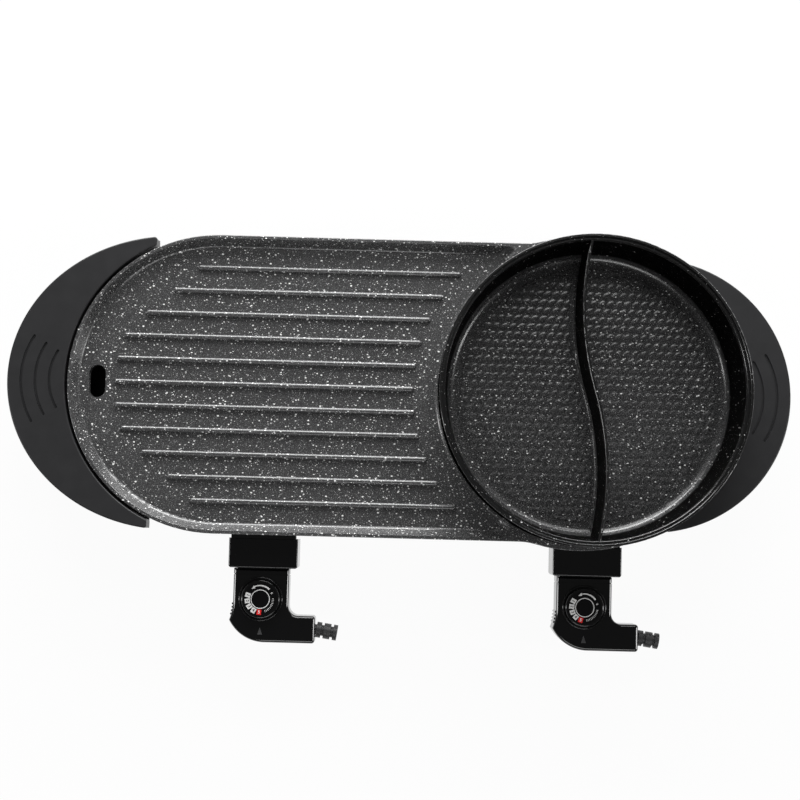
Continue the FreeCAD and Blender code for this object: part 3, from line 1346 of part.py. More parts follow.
def drip_tray():
    x1 = DRIP_X + DRIP_LENGTH
    w = DRIP_WALL
    h = DRIP_HALF_WIDTH
    z0 = DRIP_TOP_Z - DRIP_DEPTH
    body = rounded_box(DRIP_X, x1, -h, h, z0, DRIP_TOP_Z, DRIP_CORNER_R)
    body = round_edges(body, DRIP_CORNER_R / 2, edges_at(body, z0))
    wide = h + DRIP_FLANGE
    body = body.fuse(rounded_box(DRIP_X + w, x1, -wide, wide, DRIP_TOP_Z - w, DRIP_TOP_Z, DRIP_CORNER_R / 2))
    inside = rounded_box(DRIP_X + w, x1 - w, -h + w, h - w, z0 + w, DRIP_TOP_Z + 1, DRIP_CORNER_R - w)
    inside = round_edges(inside, DRIP_CORNER_R / 2 - w / 2, edges_at(inside, z0 + w))
    body = body.cut(inside)
    p = DRIP_PANEL_HALF_WIDTH
    panel = box(DRIP_X - DRIP_PANEL_T + w, DRIP_X + w, -p, p, z0 + w, DRIP_TOP_Z + DRIP_PANEL_RISE)
    panel = round_edges(panel, DRIP_PANEL_T, [e for e in panel.Edges if e.BoundBox.XLength > 1])
    return body.fuse(panel).removeSplitter()


# ---- all pieces ---------------------------------------------------------------------------
def controller_parts(name, xs):
    makers = {
        "upper_shell": upper_shell,
        "lower_shell": lower_shell,
        "case_screws": case_screws,
        "contact_block": contact_block,
        "contacts": contacts,
        "probe": probe,
        "thermostat": thermostat,
        "strain_relief": strain_relief,
        "pilot_lens": pilot_lens,
        "pilot_lamp": pilot_lamp,
        "bezel": bezel,
        "dial_knob": knob,
        "dial_plate": dial_plate,
        "dial_spindle": spindle,
    }
    parts = {}
    for part, maker in makers.items():
        shape = maker()
        shape.translate(V(xs, -SHROUD_FRONT, 0))
        parts[name + "_" + part] = shape
    return parts


def socket_parts(name, xs, tube):
    roof_under = SHROUD_TOP_Z - SHROUD_WALL
    return {
        name + "_heater": tube(HEATER_R),
        name + "_terminal_pins": terminal_pins(xs),
        name + "_terminal_beads": terminal_beads(xs),
        name + "_socket_shroud": socket_shroud(xs),
        name + "_shroud_screws": pan_screws(shroud_screw_spots(xs), roof_under, SHROUD_SCREW_LENGTH - 1),
    }


def end_parts(name, side):
    parts = {
        name + "_handle_cover": handle_cover(side),
        name + "_leg_base": leg_base(side),
        name + "_handle_screws": pan_screws(handle_screw_spots(side), LEG_PLATE_Z, HANDLE_SCREW_LENGTH - 1),
        name + "_leg_screws": pan_screws(leg_screw_spots(side), TAB_UNDER_Z, SCREW_LENGTH - 1),
    }
    front, back = pad_spots(side)
    parts[name + "_front_foot"] = rubber_foot(*front)
    parts[name + "_back_foot"] = rubber_foot(*back)
    return parts


def all_parts():
    parts = {"cast_pan": cast_pan(), "drip_tray": drip_tray()}
    parts.update(socket_parts("grill", GRILL_SOCKET, grill_tube))
    parts.update(socket_parts("pot", POT_SOCKET, pot_tube))
    parts.update(end_parts("left", -1))
    parts.update(end_parts("right", 1))
    parts.update(controller_parts("grill_control", GRILL_SOCKET))
    parts.update(controller_parts("pot_control", POT_SOCKET))
    return parts


os.makedirs("parts", exist_ok=True)
for part_name, part_shape in all_parts().items():
    write(part_name, part_shape)
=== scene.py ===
# %% [markdown]
# # A table-top grill with a divided hot pot
#
# The cooker is one casting with a speckled non-stick coating: a long ribbed
# tray and a round pot that a thin wall divides in two. Two crescent handles
# stand on hollow legs, and two plug-in controllers carry the dials. The
# construction arrives finished, as a frame of solid pieces at their real
# size, so the work here is surface: coatings, plastics, metals, the embossed
# floor of the pot and the printing on the dials.

# %% Load the frame
import json
import math

import bpy
from mathutils import Euler, Matrix, Vector

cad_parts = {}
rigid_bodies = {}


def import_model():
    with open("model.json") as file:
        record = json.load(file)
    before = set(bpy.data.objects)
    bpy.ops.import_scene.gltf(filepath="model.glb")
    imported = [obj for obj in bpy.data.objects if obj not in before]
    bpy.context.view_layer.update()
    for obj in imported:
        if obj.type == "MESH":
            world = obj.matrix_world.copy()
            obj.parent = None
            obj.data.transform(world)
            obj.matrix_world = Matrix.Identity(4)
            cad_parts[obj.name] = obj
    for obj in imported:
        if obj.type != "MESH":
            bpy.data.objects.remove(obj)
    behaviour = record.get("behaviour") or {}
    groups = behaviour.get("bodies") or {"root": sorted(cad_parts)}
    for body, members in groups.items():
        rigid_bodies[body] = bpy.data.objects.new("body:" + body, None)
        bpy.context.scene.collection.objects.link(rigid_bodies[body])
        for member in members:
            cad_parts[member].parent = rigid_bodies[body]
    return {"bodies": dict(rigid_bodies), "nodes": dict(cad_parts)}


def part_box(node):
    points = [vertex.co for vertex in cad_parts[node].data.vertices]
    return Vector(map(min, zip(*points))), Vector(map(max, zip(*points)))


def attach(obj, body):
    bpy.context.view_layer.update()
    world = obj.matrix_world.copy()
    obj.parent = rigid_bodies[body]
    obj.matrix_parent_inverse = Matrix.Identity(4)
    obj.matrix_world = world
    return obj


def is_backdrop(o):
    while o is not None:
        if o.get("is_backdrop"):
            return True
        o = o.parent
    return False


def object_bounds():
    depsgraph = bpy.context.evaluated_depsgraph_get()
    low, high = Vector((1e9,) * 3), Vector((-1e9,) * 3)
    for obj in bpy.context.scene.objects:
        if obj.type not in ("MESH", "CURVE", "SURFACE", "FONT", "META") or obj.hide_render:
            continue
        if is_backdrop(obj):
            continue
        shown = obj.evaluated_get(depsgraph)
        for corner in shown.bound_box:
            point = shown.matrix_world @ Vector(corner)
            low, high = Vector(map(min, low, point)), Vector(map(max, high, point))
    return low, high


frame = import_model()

MM = 0.001

keep = set(frame["nodes"].values()) | set(frame["bodies"].values())
for stray in [thing for thing in bpy.data.objects if thing not in keep]:
    bpy.data.objects.remove(stray)
bpy.context.view_layer.update()
cad_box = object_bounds()


def in_mm(point):
    """A point in millimetres, to a tenth."""
    return [round(v / MM, 1) for v in point]


print("CAD box, mm:", [in_mm(corner) for corner in cad_box])

# %% [markdown]
# ## Where things are
#
# Everything that is added later sits on a piece of the frame, so its place is
# read from that piece's box. The sizes that a box can't tell, such as the
# radius of the pot's rim, are the real sizes of the casting, in metres.

# %% Places and sizes read from the frame
pan_low, pan_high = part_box("cast_pan")

POT_RIM_R = 147.0 * MM
POT_FLOOR_Z = 57.5 * MM
POT_COVE = 9.0 * MM             # the wall begins this far above the floor
POT_WALL = 4.0 * MM
RIM_STEP = 5.4 * MM             # lip and ledge inside the rim
DIVIDER_BULGE = 9.3 * MM
DIVIDER_END_SHIFT = 5.2 * MM

pot = Vector((pan_high.x - POT_RIM_R, (pan_low.y + pan_high.y) / 2, POT_FLOOR_Z))
print("Centre of the pot's floor, mm:", in_mm(pot))

# %% [markdown]
# ## Shader maths as expressions
#
# A finish is a small sum: so much base colour, plus a speck where a mask says
# so. Wiring that by hand takes a page of nodes, so a socket is wrapped in a
# class whose operators add the Math nodes. The reflected forms let a number
# stand on the left, as in `1 - mask`.

# %% A socket that does sums
class Signal:
    """One output socket of a finish. Sums on it add Math nodes."""

    def __init__(self, finish, socket):
        self.finish = finish
        self.socket = socket

    def sum(self, operation, first, second):
        node = self.finish.node("ShaderNodeMath", {"operation": operation}, {0: first, 1: second})
        return node["Value"]

    def __add__(self, other):
        return self.sum("ADD", self, other)

    def __radd__(self, other):
        return self.sum("ADD", other, self)

    def __sub__(self, other):
        return self.sum("SUBTRACT", self, other)

    def __rsub__(self, other):
        return self.sum("SUBTRACT", other, self)

    def __mul__(self, other):
        return self.sum("MULTIPLY", self, other)

    def __rmul__(self, other):
        return self.sum("MULTIPLY", other, self)

    def __or__(self, other):
        return self.sum("MAXIMUM", self, other)


class Node:
    """A node of a finish, whose outputs are asked for by name or number."""

    def __init__(self, finish, node):
        self.finish = finish
        self.node = node

    def __getitem__(self, name):
        return Signal(self.finish, self.node.outputs[name])


class Finish:
    """A material being made, or the sky, when a world is given."""

    def __init__(self, name, world=None):
        self.material = world or bpy.data.materials.new(name)
        self.material.use_nodes = True
        self.tree = self.material.node_tree
        self.shader = self.tree.nodes["Background" if world else "Principled BSDF"]
        self.place = self.node("ShaderNodeTexCoord")["Generated" if world else "Object"]

    def feed(self, socket, value):
        if isinstance(value, Signal):
            self.tree.links.new(value.socket, socket)
        else:
            socket.default_value = value

    def node(self, kind, settings=None, inputs=None):
        """Any node: its settings are set first, then its inputs are fed."""
        node = self.tree.nodes.new(kind)
        for name, value in (settings or {}).items():
            setattr(node, name, value)
        for name, value in (inputs or {}).items():
            self.feed(node.inputs[name], value)
        return Node(self, node)

    def mix(self, amount, first, second):
        """Two colours mixed: amount 0 is the first and 1 the second."""
        settings = {"data_type": "RGBA", "clamp_factor": True}
        return self.node("ShaderNodeMix", settings, {0: amount, 6: first, 7: second})[2]

    def ramp(self, value, low, high, start=0.0, end=1.0):
        """A smooth step from start to end while value goes from low to high."""
        settings = {"interpolation_type": "SMOOTHSTEP", "clamp": True}
        inputs = {"Value": value, "From Min": low, "From Max": high, "To Min": start, "To Max": end}
        return self.node("ShaderNodeMapRange", settings, inputs)["Result"]

    def noise(self, size, detail=2.0, place=None):
        """Soft noise whose blots are about size metres across."""
        inputs = {"Vector": place or self.place, "Scale": 1.0 / size, "Detail": detail}
        return self.node("ShaderNodeTexNoise", {}, inputs)["Fac"]

    def bump(self, height, depth):
        """Small relief, depth metres high where height is 1."""
        inputs = {"Strength": 1.0, "Distance": depth, "Height": height}
        self.set("Normal", self.node("ShaderNodeBump", {}, inputs)["Normal"])

    def set(self, name, value):
        self.feed(self.shader.inputs[name], value)


def grey(level):
    return (level, level, level, 1.0)


print("Shader maths is ready")

# %% [markdown]
# ## The speckled coating
#
# The casting is sprayed three times: a dark grey ground, a fine light spatter,
# and a clear satin top. The white flecks are drops of the second coat, so they
# are irregular and of many sizes. Voronoi cells give one drop per cell: the
# cell's random colour decides whether it has a drop at all and how large it
# is, and a noise that shifts the coordinates frays its edge. Three layers are
# stretched in three directions, so that the drops don't all point one way.

# %% Layers of drops
LAYERS = {  # size of a cell, turn, stretch, share of the cells, smallest and largest radius
    "large": (3.0 * MM, 0.3, 1.4, 0.62, 0.3 * MM, 0.85 * MM),
    "middle": (2.2 * MM, 2.3, 1.6, 0.6, 0.25 * MM, 0.65 * MM),
    "small": (1.2 * MM, 1.2, 1.3, 0.75, 0.2 * MM, 0.38 * MM),
}
TILT = (0.4, 0.7)               # turns the cells so that no face lies along them
DROP_EDGE = 0.12 * MM           # a drop's edge fades over this width
FRAY = 0.9 * MM                 # size and reach of the noise that frays a drop


def drops(finish, place, fewer, cell, turn, stretch, share, smallest, largest):
    """The mask of one layer. The signal fewer takes off a part of its share."""
    inputs = {"Vector": place, "Rotation": (*TILT, turn), "Scale": (1.0 / stretch, 1.0, 1.0)}
    laid = finish.node("ShaderNodeMapping", {}, inputs)["Vector"]
    inputs = {"Vector": laid, "Scale": 1.0 / cell}
    cells = finish.node("ShaderNodeTexVoronoi", {"feature": "F1"}, inputs)
    chance = finish.node("ShaderNodeSeparateColor", {}, {"Color": cells["Color"]})
    size = chance["Green"] * chance["Green"] * ((largest - smallest) / cell) + smallest / cell
    kept = share - fewer
    there = finish.ramp(chance["Red"], kept, kept + 0.01, 1.0, 0.0)
    edge = (size - cells["Distance"]) * (cell / DROP_EDGE)
    return finish.node("ShaderNodeClamp", {}, {"Value": edge})["Result"] * there


def frayed_place(finish):
    """Coordinates that a noise has shifted a little, so that edges fray."""
    inputs = {"Vector": finish.place, "Scale": 1.0 / FRAY, "Detail": 1.0}
    fray = finish.node("ShaderNodeTexNoise", {}, inputs)["Color"]
    inputs = {0: fray, 1: (FRAY, FRAY, FRAY), 2: finish.place}
    return finish.node("ShaderNodeVectorMath", {"operation": "MULTIPLY_ADD"}, inputs)["Vector"]


print("Drops are laid in", len(LAYERS), "layers:", ", ".join(LAYERS))

# %% [markdown]
# The coat isn't the same everywhere. The pot gets fewer drops than the tray,
# and a darker ground, which is painted shade of its deep walls. Its upright
# walls and the divider get hardly any drops, and are set to a deep matt black
# that mirrors nothing, darker than the same paint would be: painted shade. The
# rim is as black, a part of that painted shade, but satin. Three masks say where
# a point lies. The inside of the pot is told from its outside by the way a face
# points: outside, that is away from the centre.

# %% Masks of the coating
OUTSIDE_BEGINS = (0.05, 0.08)   # metres from the centre, along the way a face points
WALL_BEGINS = (0.25, 0.9)       # heights above the floor, in coves
RIM_BEGINS = (9 * MM, 7 * MM)   # depths below the top


def pot_zones(finish):
    """Masks of the whole pot, of its inside walls with the divider, and of its rim."""
    spot = finish.node("ShaderNodeSeparateXYZ", {}, {"Vector": finish.place})
    east = spot["X"] - pot.x
    north = spot["Y"] - pot.y
    away = east * east + north * north
    in_pot = finish.ramp(away, POT_RIM_R ** 2, (POT_RIM_R + MM) ** 2, 1.0, 0.0)
    normal = finish.node("ShaderNodeNewGeometry")["Normal"]
    facing = finish.node("ShaderNodeSeparateXYZ", {}, {"Vector": normal})
    outward = facing["X"] * east + facing["Y"] * north
    inside = finish.ramp(outward, *OUTSIDE_BEGINS, 1.0, 0.0)
    low, high = [POT_FLOOR_Z + share * POT_COVE for share in WALL_BEGINS]
    wall = in_pot * inside * finish.ramp(spot["Z"], low, high)
    low, high = [pan_high.z - depth for depth in RIM_BEGINS]
    rim = in_pot * finish.ramp(spot["Z"], low, high)
    return in_pot, wall, rim


print("The walls' black sets in", WALL_BEGINS[0] * POT_COVE / MM, "mm above the pot's floor")

# %% Speckled coating
TRAY_GROUND = ((0.026, 0.0262, 0.027, 1.0), (0.040, 0.0402, 0.041, 1.0))
# The pot's ground is darker than the tray's: painted shade of the pot's deep walls.
POT_GROUND_PAINTED_SHADE = ((0.015, 0.0152, 0.016, 1.0), (0.025, 0.0252, 0.026, 1.0))
# Near black on the pot's walls, divider and rim: painted shade, darker than the coating is.
WALL_PAINTED_SHADE = grey(0.002)
DUST = grey(0.16)
SMALL_DROP = grey(0.6)
LARGE_DROP = (0.9, 0.9, 0.89, 1.0)
FEWER_IN_POT = 0.27             # taken off the share of cells with a drop
FEWER_ON_WALL = 0.3
DUST_SIZE = 0.7 * MM
DUST_BEGINS = (0.5, 0.68)       # levels of its noise
CLOUD = 9 * MM                  # the ground's shade wanders over this way
SATIN = 0.2                     # roughness of the top coat
MATT = 0.74                     # how much rougher the walls are
GRAIN = 1.3 * MM
RELIEF = 0.05 * MM


def granite_coating():
    finish = Finish("granite_coating")
    in_pot, wall, rim = pot_zones(finish)
    place = frayed_place(finish)
    fewer = in_pot * FEWER_IN_POT + wall * FEWER_ON_WALL
    large, middle, small = [drops(finish, place, fewer, *LAYERS[name]) for name in LAYERS]
    large = large | middle
    dust = finish.ramp(finish.noise(DUST_SIZE, 1.0), *DUST_BEGINS) * (1.0 - wall * 0.95)
    cloud = finish.noise(CLOUD, 3.0)
    # Painted shade: inside the pot the ground is darker than on the tray.
    ground = finish.mix(in_pot, finish.mix(cloud, *TRAY_GROUND), finish.mix(cloud, *POT_GROUND_PAINTED_SHADE))
    # Painted shade: the pot's walls, divider and rim go near black. The walls' fewer drops and dust above,
    # and their metal setting below, darken them too.
    ground = finish.mix(wall, ground, WALL_PAINTED_SHADE)
    dusted = finish.mix(dust * 0.75, ground, DUST)
    speckled = finish.mix(small * 0.8, dusted, SMALL_DROP)
    finish.set("Base Color", finish.mix(large, speckled, LARGE_DROP))
    uneven = finish.noise(1.5 * MM) * 0.1 + large * 0.1
    finish.set("Roughness", SATIN + wall * MATT - rim * MATT + uneven)
    # A metal setting over the near-black colour takes away the walls' reflections, as part of their painted
    # shade.
    finish.set("Metallic", wall - rim)
    finish.set("Specular IOR Level", 1.0)
    grain = finish.noise(GRAIN, 2.0) * (1.0 - wall * 0.7)
    finish.bump(grain + large * 0.35, RELIEF)
    return finish.material


finishes = {"granite_coating": granite_coating()}
print("The coating takes", len(finishes["granite_coating"].node_tree.nodes), "nodes")

# %% [markdown]
# ## Plastics, rubbers and enamel
#
# The handles and legs are a heat-proof plastic whose mould was spark-eroded:
# a fine even grain that scatters the light. The plugs are polished black, so
# nearly all that shows is reflection, and their colour only has to be dark.
# The drip tray is pressed sheet under black enamel. Each is a Principled
# shader with its own grain in the bump and a slow noise in the roughness,
# because no moulding shines evenly.

# %% Plastics, rubbers and enamel
SLOW = 14 * MM                  # colour and gloss wander over this way


def moulded(name, colour, roughness, grain, depth, wander=0.06, spread=0.12, shine=0.5):
    """A moulded plastic or rubber: grain metres wide, depth metres deep."""
    finish = Finish(name)
    finish.set("Specular IOR Level", shine)
    slow = finish.noise(SLOW, 3.0)
    darker = tuple(c * (1.0 - spread) for c in colour) + (1.0,)
    lighter = tuple(c * (1.0 + spread) for c in colour) + (1.0,)
    finish.set("Base Color", finish.mix(slow, darker, lighter))
    finish.set("Roughness", roughness - wander / 2 + slow * wander)
    finish.bump(finish.noise(grain, 2.0), depth)
    return finish.material


POLISHED = (0.003, 0.003, 0.0032)
MOULDINGS = {   # colour, roughness, width and depth of the grain, wander, spread and shine
    "gloss_black": (POLISHED, 0.12, 3.5 * MM, 0.004 * MM, 0.04, 0.12, 0.9),
    "handle_plastic": ((0.021, 0.021, 0.022), 0.4, 0.45 * MM, 0.02 * MM, 0.06, 0.12, 0.35),
    "leg_plastic": ((0.018, 0.018, 0.019), 0.5, 0.5 * MM, 0.03 * MM, 0.06, 0.12, 0.35),
    "foot_rubber": ((0.022, 0.022, 0.022), 0.78, 0.4 * MM, 0.03 * MM),
    "cord_rubber": ((0.036, 0.036, 0.037), 0.45, 0.6 * MM, 0.04 * MM),
    "phenolic": ((0.030, 0.014, 0.008), 0.4, 1.2 * MM, 0.01 * MM, 0.1, 0.35),
    "tray_enamel": ((0.006, 0.006, 0.006), 0.3, 0.9 * MM, 0.01 * MM),
}
for name, look in MOULDINGS.items():
    finishes[name] = moulded(name, *look)
finishes["dial_print"] = moulded("dial_plate_black", POLISHED, 0.2, 0.8 * MM, 0.003 * MM)
print("Moulded:", ", ".join(MOULDINGS))

# %% [markdown]
# ## Metals and ceramic
#
# The sheathed heaters are stainless tube that has been annealed, so they are
# dull and brownish in places. Pins and screws are plated and finer. The beads
# that close the heaters are unglazed ceramic, so they have no gloss at all.

# %% Metals and ceramic
def metal(name, dark, light, roughness, size):
    """A bare metal whose colour and gloss wander over size metres."""
    finish = Finish(name)
    grain = finish.noise(size, 4.0)
    finish.set("Base Color", finish.mix(grain, dark + (1.0,), light + (1.0,)))
    finish.set("Roughness", roughness * (0.7 + grain * 0.6))
    finish.set("Metallic", 1.0)
    finish.bump(grain, 0.004 * MM)
    return finish.material


def ceramic():
    finish = Finish("ceramic")
    pores = finish.noise(0.7 * MM, 3.0)
    finish.set("Base Color", finish.mix(pores, (0.55, 0.52, 0.46, 1.0), (0.74, 0.71, 0.65, 1.0)))
    finish.set("Roughness", 0.82 + pores * 0.1)
    finish.bump(pores, 0.02 * MM)
    return finish.material


METALS = {                      # dark and light colour, roughness, size of the blots
    "heater_steel": ((0.16, 0.13, 0.11), (0.42, 0.39, 0.36), 0.42, 12 * MM),
    "plated_pin": ((0.55, 0.53, 0.50), (0.74, 0.72, 0.69), 0.2, 2 * MM),
    "screw_steel": ((0.42, 0.42, 0.43), (0.62, 0.62, 0.63), 0.3, 1.5 * MM),
}
for name, look in METALS.items():
    finishes[name] = metal(name, *look)
finishes["ceramic"] = ceramic()
print("Metals:", ", ".join(METALS), "and a ceramic")

# %% [markdown]
# ## Lens, lamp and print
#
# The pilot light is a smoked lens over a small neon lamp, which is off. Real
# smoked plastic is dyed through, but a dye set as volume is lost when a model
# is exported, so the lens is a dark gloss surface with a little transmission.
# The dial's print is ink on the polished plate: white, with one red box.

# %% Lens, lamp and print
def glassy(name, size, dark, light, roughness, wander, transmission):
    """A clear or smoked piece, uneven over size metres."""
    finish = Finish(name)
    haze = finish.noise(size)
    finish.set("Base Color", finish.mix(haze, dark, light))
    finish.set("Roughness", roughness + haze * wander)
    finish.set("Transmission Weight", transmission)
    return finish.material


def ink(name, colour):
    """Screen-printed ink: a little uneven in cover and in gloss."""
    finish = Finish(name)
    cover = finish.noise(0.6 * MM, 2.0)
    thin = tuple(c * 0.86 for c in colour) + (1.0,)
    finish.set("Base Color", finish.mix(cover, thin, colour + (1.0,)))
    finish.set("Roughness", 0.38 + cover * 0.15)
    finish.bump(cover, 0.004 * MM)
    return finish.material


SMOKE = ((0.055, 0.055, 0.056, 1.0), (0.085, 0.085, 0.087, 1.0))
NEON_GLASS = ((0.55, 0.30, 0.20, 1.0), (0.75, 0.45, 0.32, 1.0))
finishes["lens_clear"] = glassy("lens_clear", 1.0 * MM, *SMOKE, 0.2, 0.12, 0.15)
finishes["lamp_glass"] = glassy("lamp_glass", 1.5 * MM, *NEON_GLASS, 0.06, 0.08, 0.6)
white_ink = ink("white_ink", (0.86, 0.86, 0.85))
red_ink = ink("red_ink", (0.78, 0.012, 0.012))
black_ink = ink("black_ink", (0.012, 0.012, 0.012))
print("Finishes ready:", len(finishes), "and three inks")

# %% [markdown]
# ## Every solid gets its finish
#
# The record names a material slot for each solid. A table from slot to
# finish, and one pass over the solids, dress the whole frame, so no piece is
# left in the colour it arrived in.

# %% Dress the frame
for thing in frame["nodes"].values():
    for spot in thing.material_slots:
        spot.material = finishes[spot.material.name.split(".")[0]]
print("Dressed", len(frame["nodes"]), "nodes in", len(finishes), "finishes")

# %% [markdown]
# ## Helpers for the pieces that are added
#
# A piece made by Geometry Nodes starts as an object with a modifier. The
# modifier's inputs are reached by the identifier of their socket, which stays
# the same when a label changes. The evaluated result is then turned into a
# plain mesh, and the modifier goes, so that what rides on the frame is
# ordinary geometry.

# %% A node tree with named inputs
class Tree:
    """A Geometry Nodes tree with named inputs."""

    def __init__(self, name):
        self.group = bpy.data.node_groups.new(name, "GeometryNodeTree")
        self.sockets = self.group.interface
        for way in ("INPUT", "OUTPUT"):
            self.sockets.new_socket("Geometry", in_out=way, socket_type="NodeSocketGeometry")
        self.source = self.group.nodes.new("NodeGroupInput")
        self.result = self.group.nodes.new("NodeGroupOutput")
        self.identifiers = {}

    def input(self, label, kind="Float"):
        """A named input; gives the socket that carries it inside the tree."""
        kind = "NodeSocket" + kind
        made = self.sockets.new_socket(label, in_out="INPUT", socket_type=kind)
        self.identifiers[label] = made.identifier
        return self.source.outputs[made.identifier]

    def node(self, kind, settings=None, inputs=None):
        node = self.group.nodes.new(kind)
        for name, value in (settings or {}).items():
            setattr(node, name, value)
        for name, value in (inputs or {}).items():
            if isinstance(value, bpy.types.NodeSocket):
                self.group.links.new(value, node.inputs[name])
            else:
                node.inputs[name].default_value = value
        return node.outputs

    def maths(self, operation, first, second=0.0):
        return self.node("ShaderNodeMath", {"operation": operation}, {0: first, 1: second})[0]

    def finish_with(self, geometry, material):
        """The tree's end: instances made real, and the material set."""
        real = self.node("GeometryNodeRealizeInstances", {}, {"Geometry": geometry})["Geometry"]
        dressed = self.node("GeometryNodeSetMaterial", {}, {"Geometry": real, "Material": material})
        self.group.links.new(dressed["Geometry"], self.result.inputs["Geometry"])


# %% Adding objects, and settling the result of a tree
def add(name, data):
    """A new object of the scene, from a mesh, a curve, a lamp or a camera."""
    made = bpy.data.objects.new(name, data)
    bpy.context.scene.collection.objects.link(made)
    return made


def plain_mesh(name, thing):
    """The final shape of an object as a mesh of its own. The object goes."""
    bpy.context.view_layer.update()
    evaluated = thing.evaluated_get(bpy.context.evaluated_depsgraph_get())
    shape = bpy.data.meshes.new_from_object(evaluated)
    shape.name = name
    for modifier in list(thing.modifiers):
        thing.modifiers.remove(modifier)
    bpy.data.objects.remove(thing)
    return shape


def settle(name, tree, values, mesh=None):
    """Runs a tree with these input values and adds its result as a plain mesh."""
    draft = add(name + "_draft", mesh or bpy.data.meshes.new(name + "_draft"))
    modifier = draft.modifiers.new("shape", "NODES")
    modifier.node_group = tree.group
    for label, value in values.items():
        modifier[tree.identifiers[label]] = value
    shape = plain_mesh(name, draft)
    print(f"{name}: {len(shape.polygons)} faces")
    return add(name, shape)


print("Helpers are ready")

# %% [markdown]
# ## The embossed floor of the pot
#
# The floor of the pot is pressed into rows of small slanted pillows, each row
# shifted by half a pitch, so that food doesn't stick and bubbles start evenly.
# It could be a bump in the material, but seen from the side bump is flat, so
# the relief is real: Geometry Nodes lay a fine grid over the floor and lift
# each point by the height of its pillow. The height grows from 0 on the line
# midway between neighbours. Towards the wall and the divider the sheet dives
# under the floor, so its edge is never seen.

# %% The divider's line on the floor
BOW_POINTS = 24


def bow_points(count):
    """The S of the divider, from back to front: a bow, then the same bow turned half round."""
    span = POT_RIM_R - RIM_STEP + POT_WALL / 2
    chord = math.hypot(span, DIVIDER_END_SHIFT)
    radius = (chord ** 2 / 4 + DIVIDER_BULGE ** 2) / (2 * DIVIDER_BULGE)
    lean = math.atan2(DIVIDER_END_SHIFT, span)
    depth = radius - DIVIDER_BULGE
    cx = -DIVIDER_END_SHIFT / 2 + depth * math.cos(lean)
    cy = span / 2 + depth * math.sin(lean)
    sweep = 2 * math.asin(chord / 2 / radius)
    start = math.atan2(-cy, -cx)
    half = []
    for step in range(count):
        angle = start - sweep * step / (count - 1)
        half.append(Vector((cx + radius * math.cos(angle), cy + radius * math.sin(angle), 0.0)))
    return half[::-1] + [-point for point in half[1:]]


line = bow_points(BOW_POINTS)
edges = [(i, i + 1) for i in range(len(line) - 1)]
divider_line = bpy.data.meshes.new("divider_line")
divider_line.from_pydata([pot + point for point in line], edges, [])
print("Divider's line, mm:", in_mm(line[0]), "to", in_mm(line[-1]))

# %% A tree that embosses a round floor
EMBOSS_PITCH = 8.28 * MM
EMBOSS_ROW = 8.12 * MM
EMBOSS_HEIGHT = 0.34 * MM
EMBOSS_R = 125.5 * MM
EMBOSS_GRID = 0.72 * MM
EMBOSS_EDGE = 1.4 * MM          # the relief sets in over this width
GRID_SIDE = 2.02                # in field radii, so a little wider than the field
SHEET_LIFT = 0.05 * MM          # from the casting's floor up to the sheet
SHEET_DIVE = 0.4 * MM
DOME_SHARE = 0.55               # of the way from a cell's edge to its middle
DIVIDER_CLEARANCE = 6.5 * MM
DIVED = 0.001                   # below this mask level the sheet is cut away


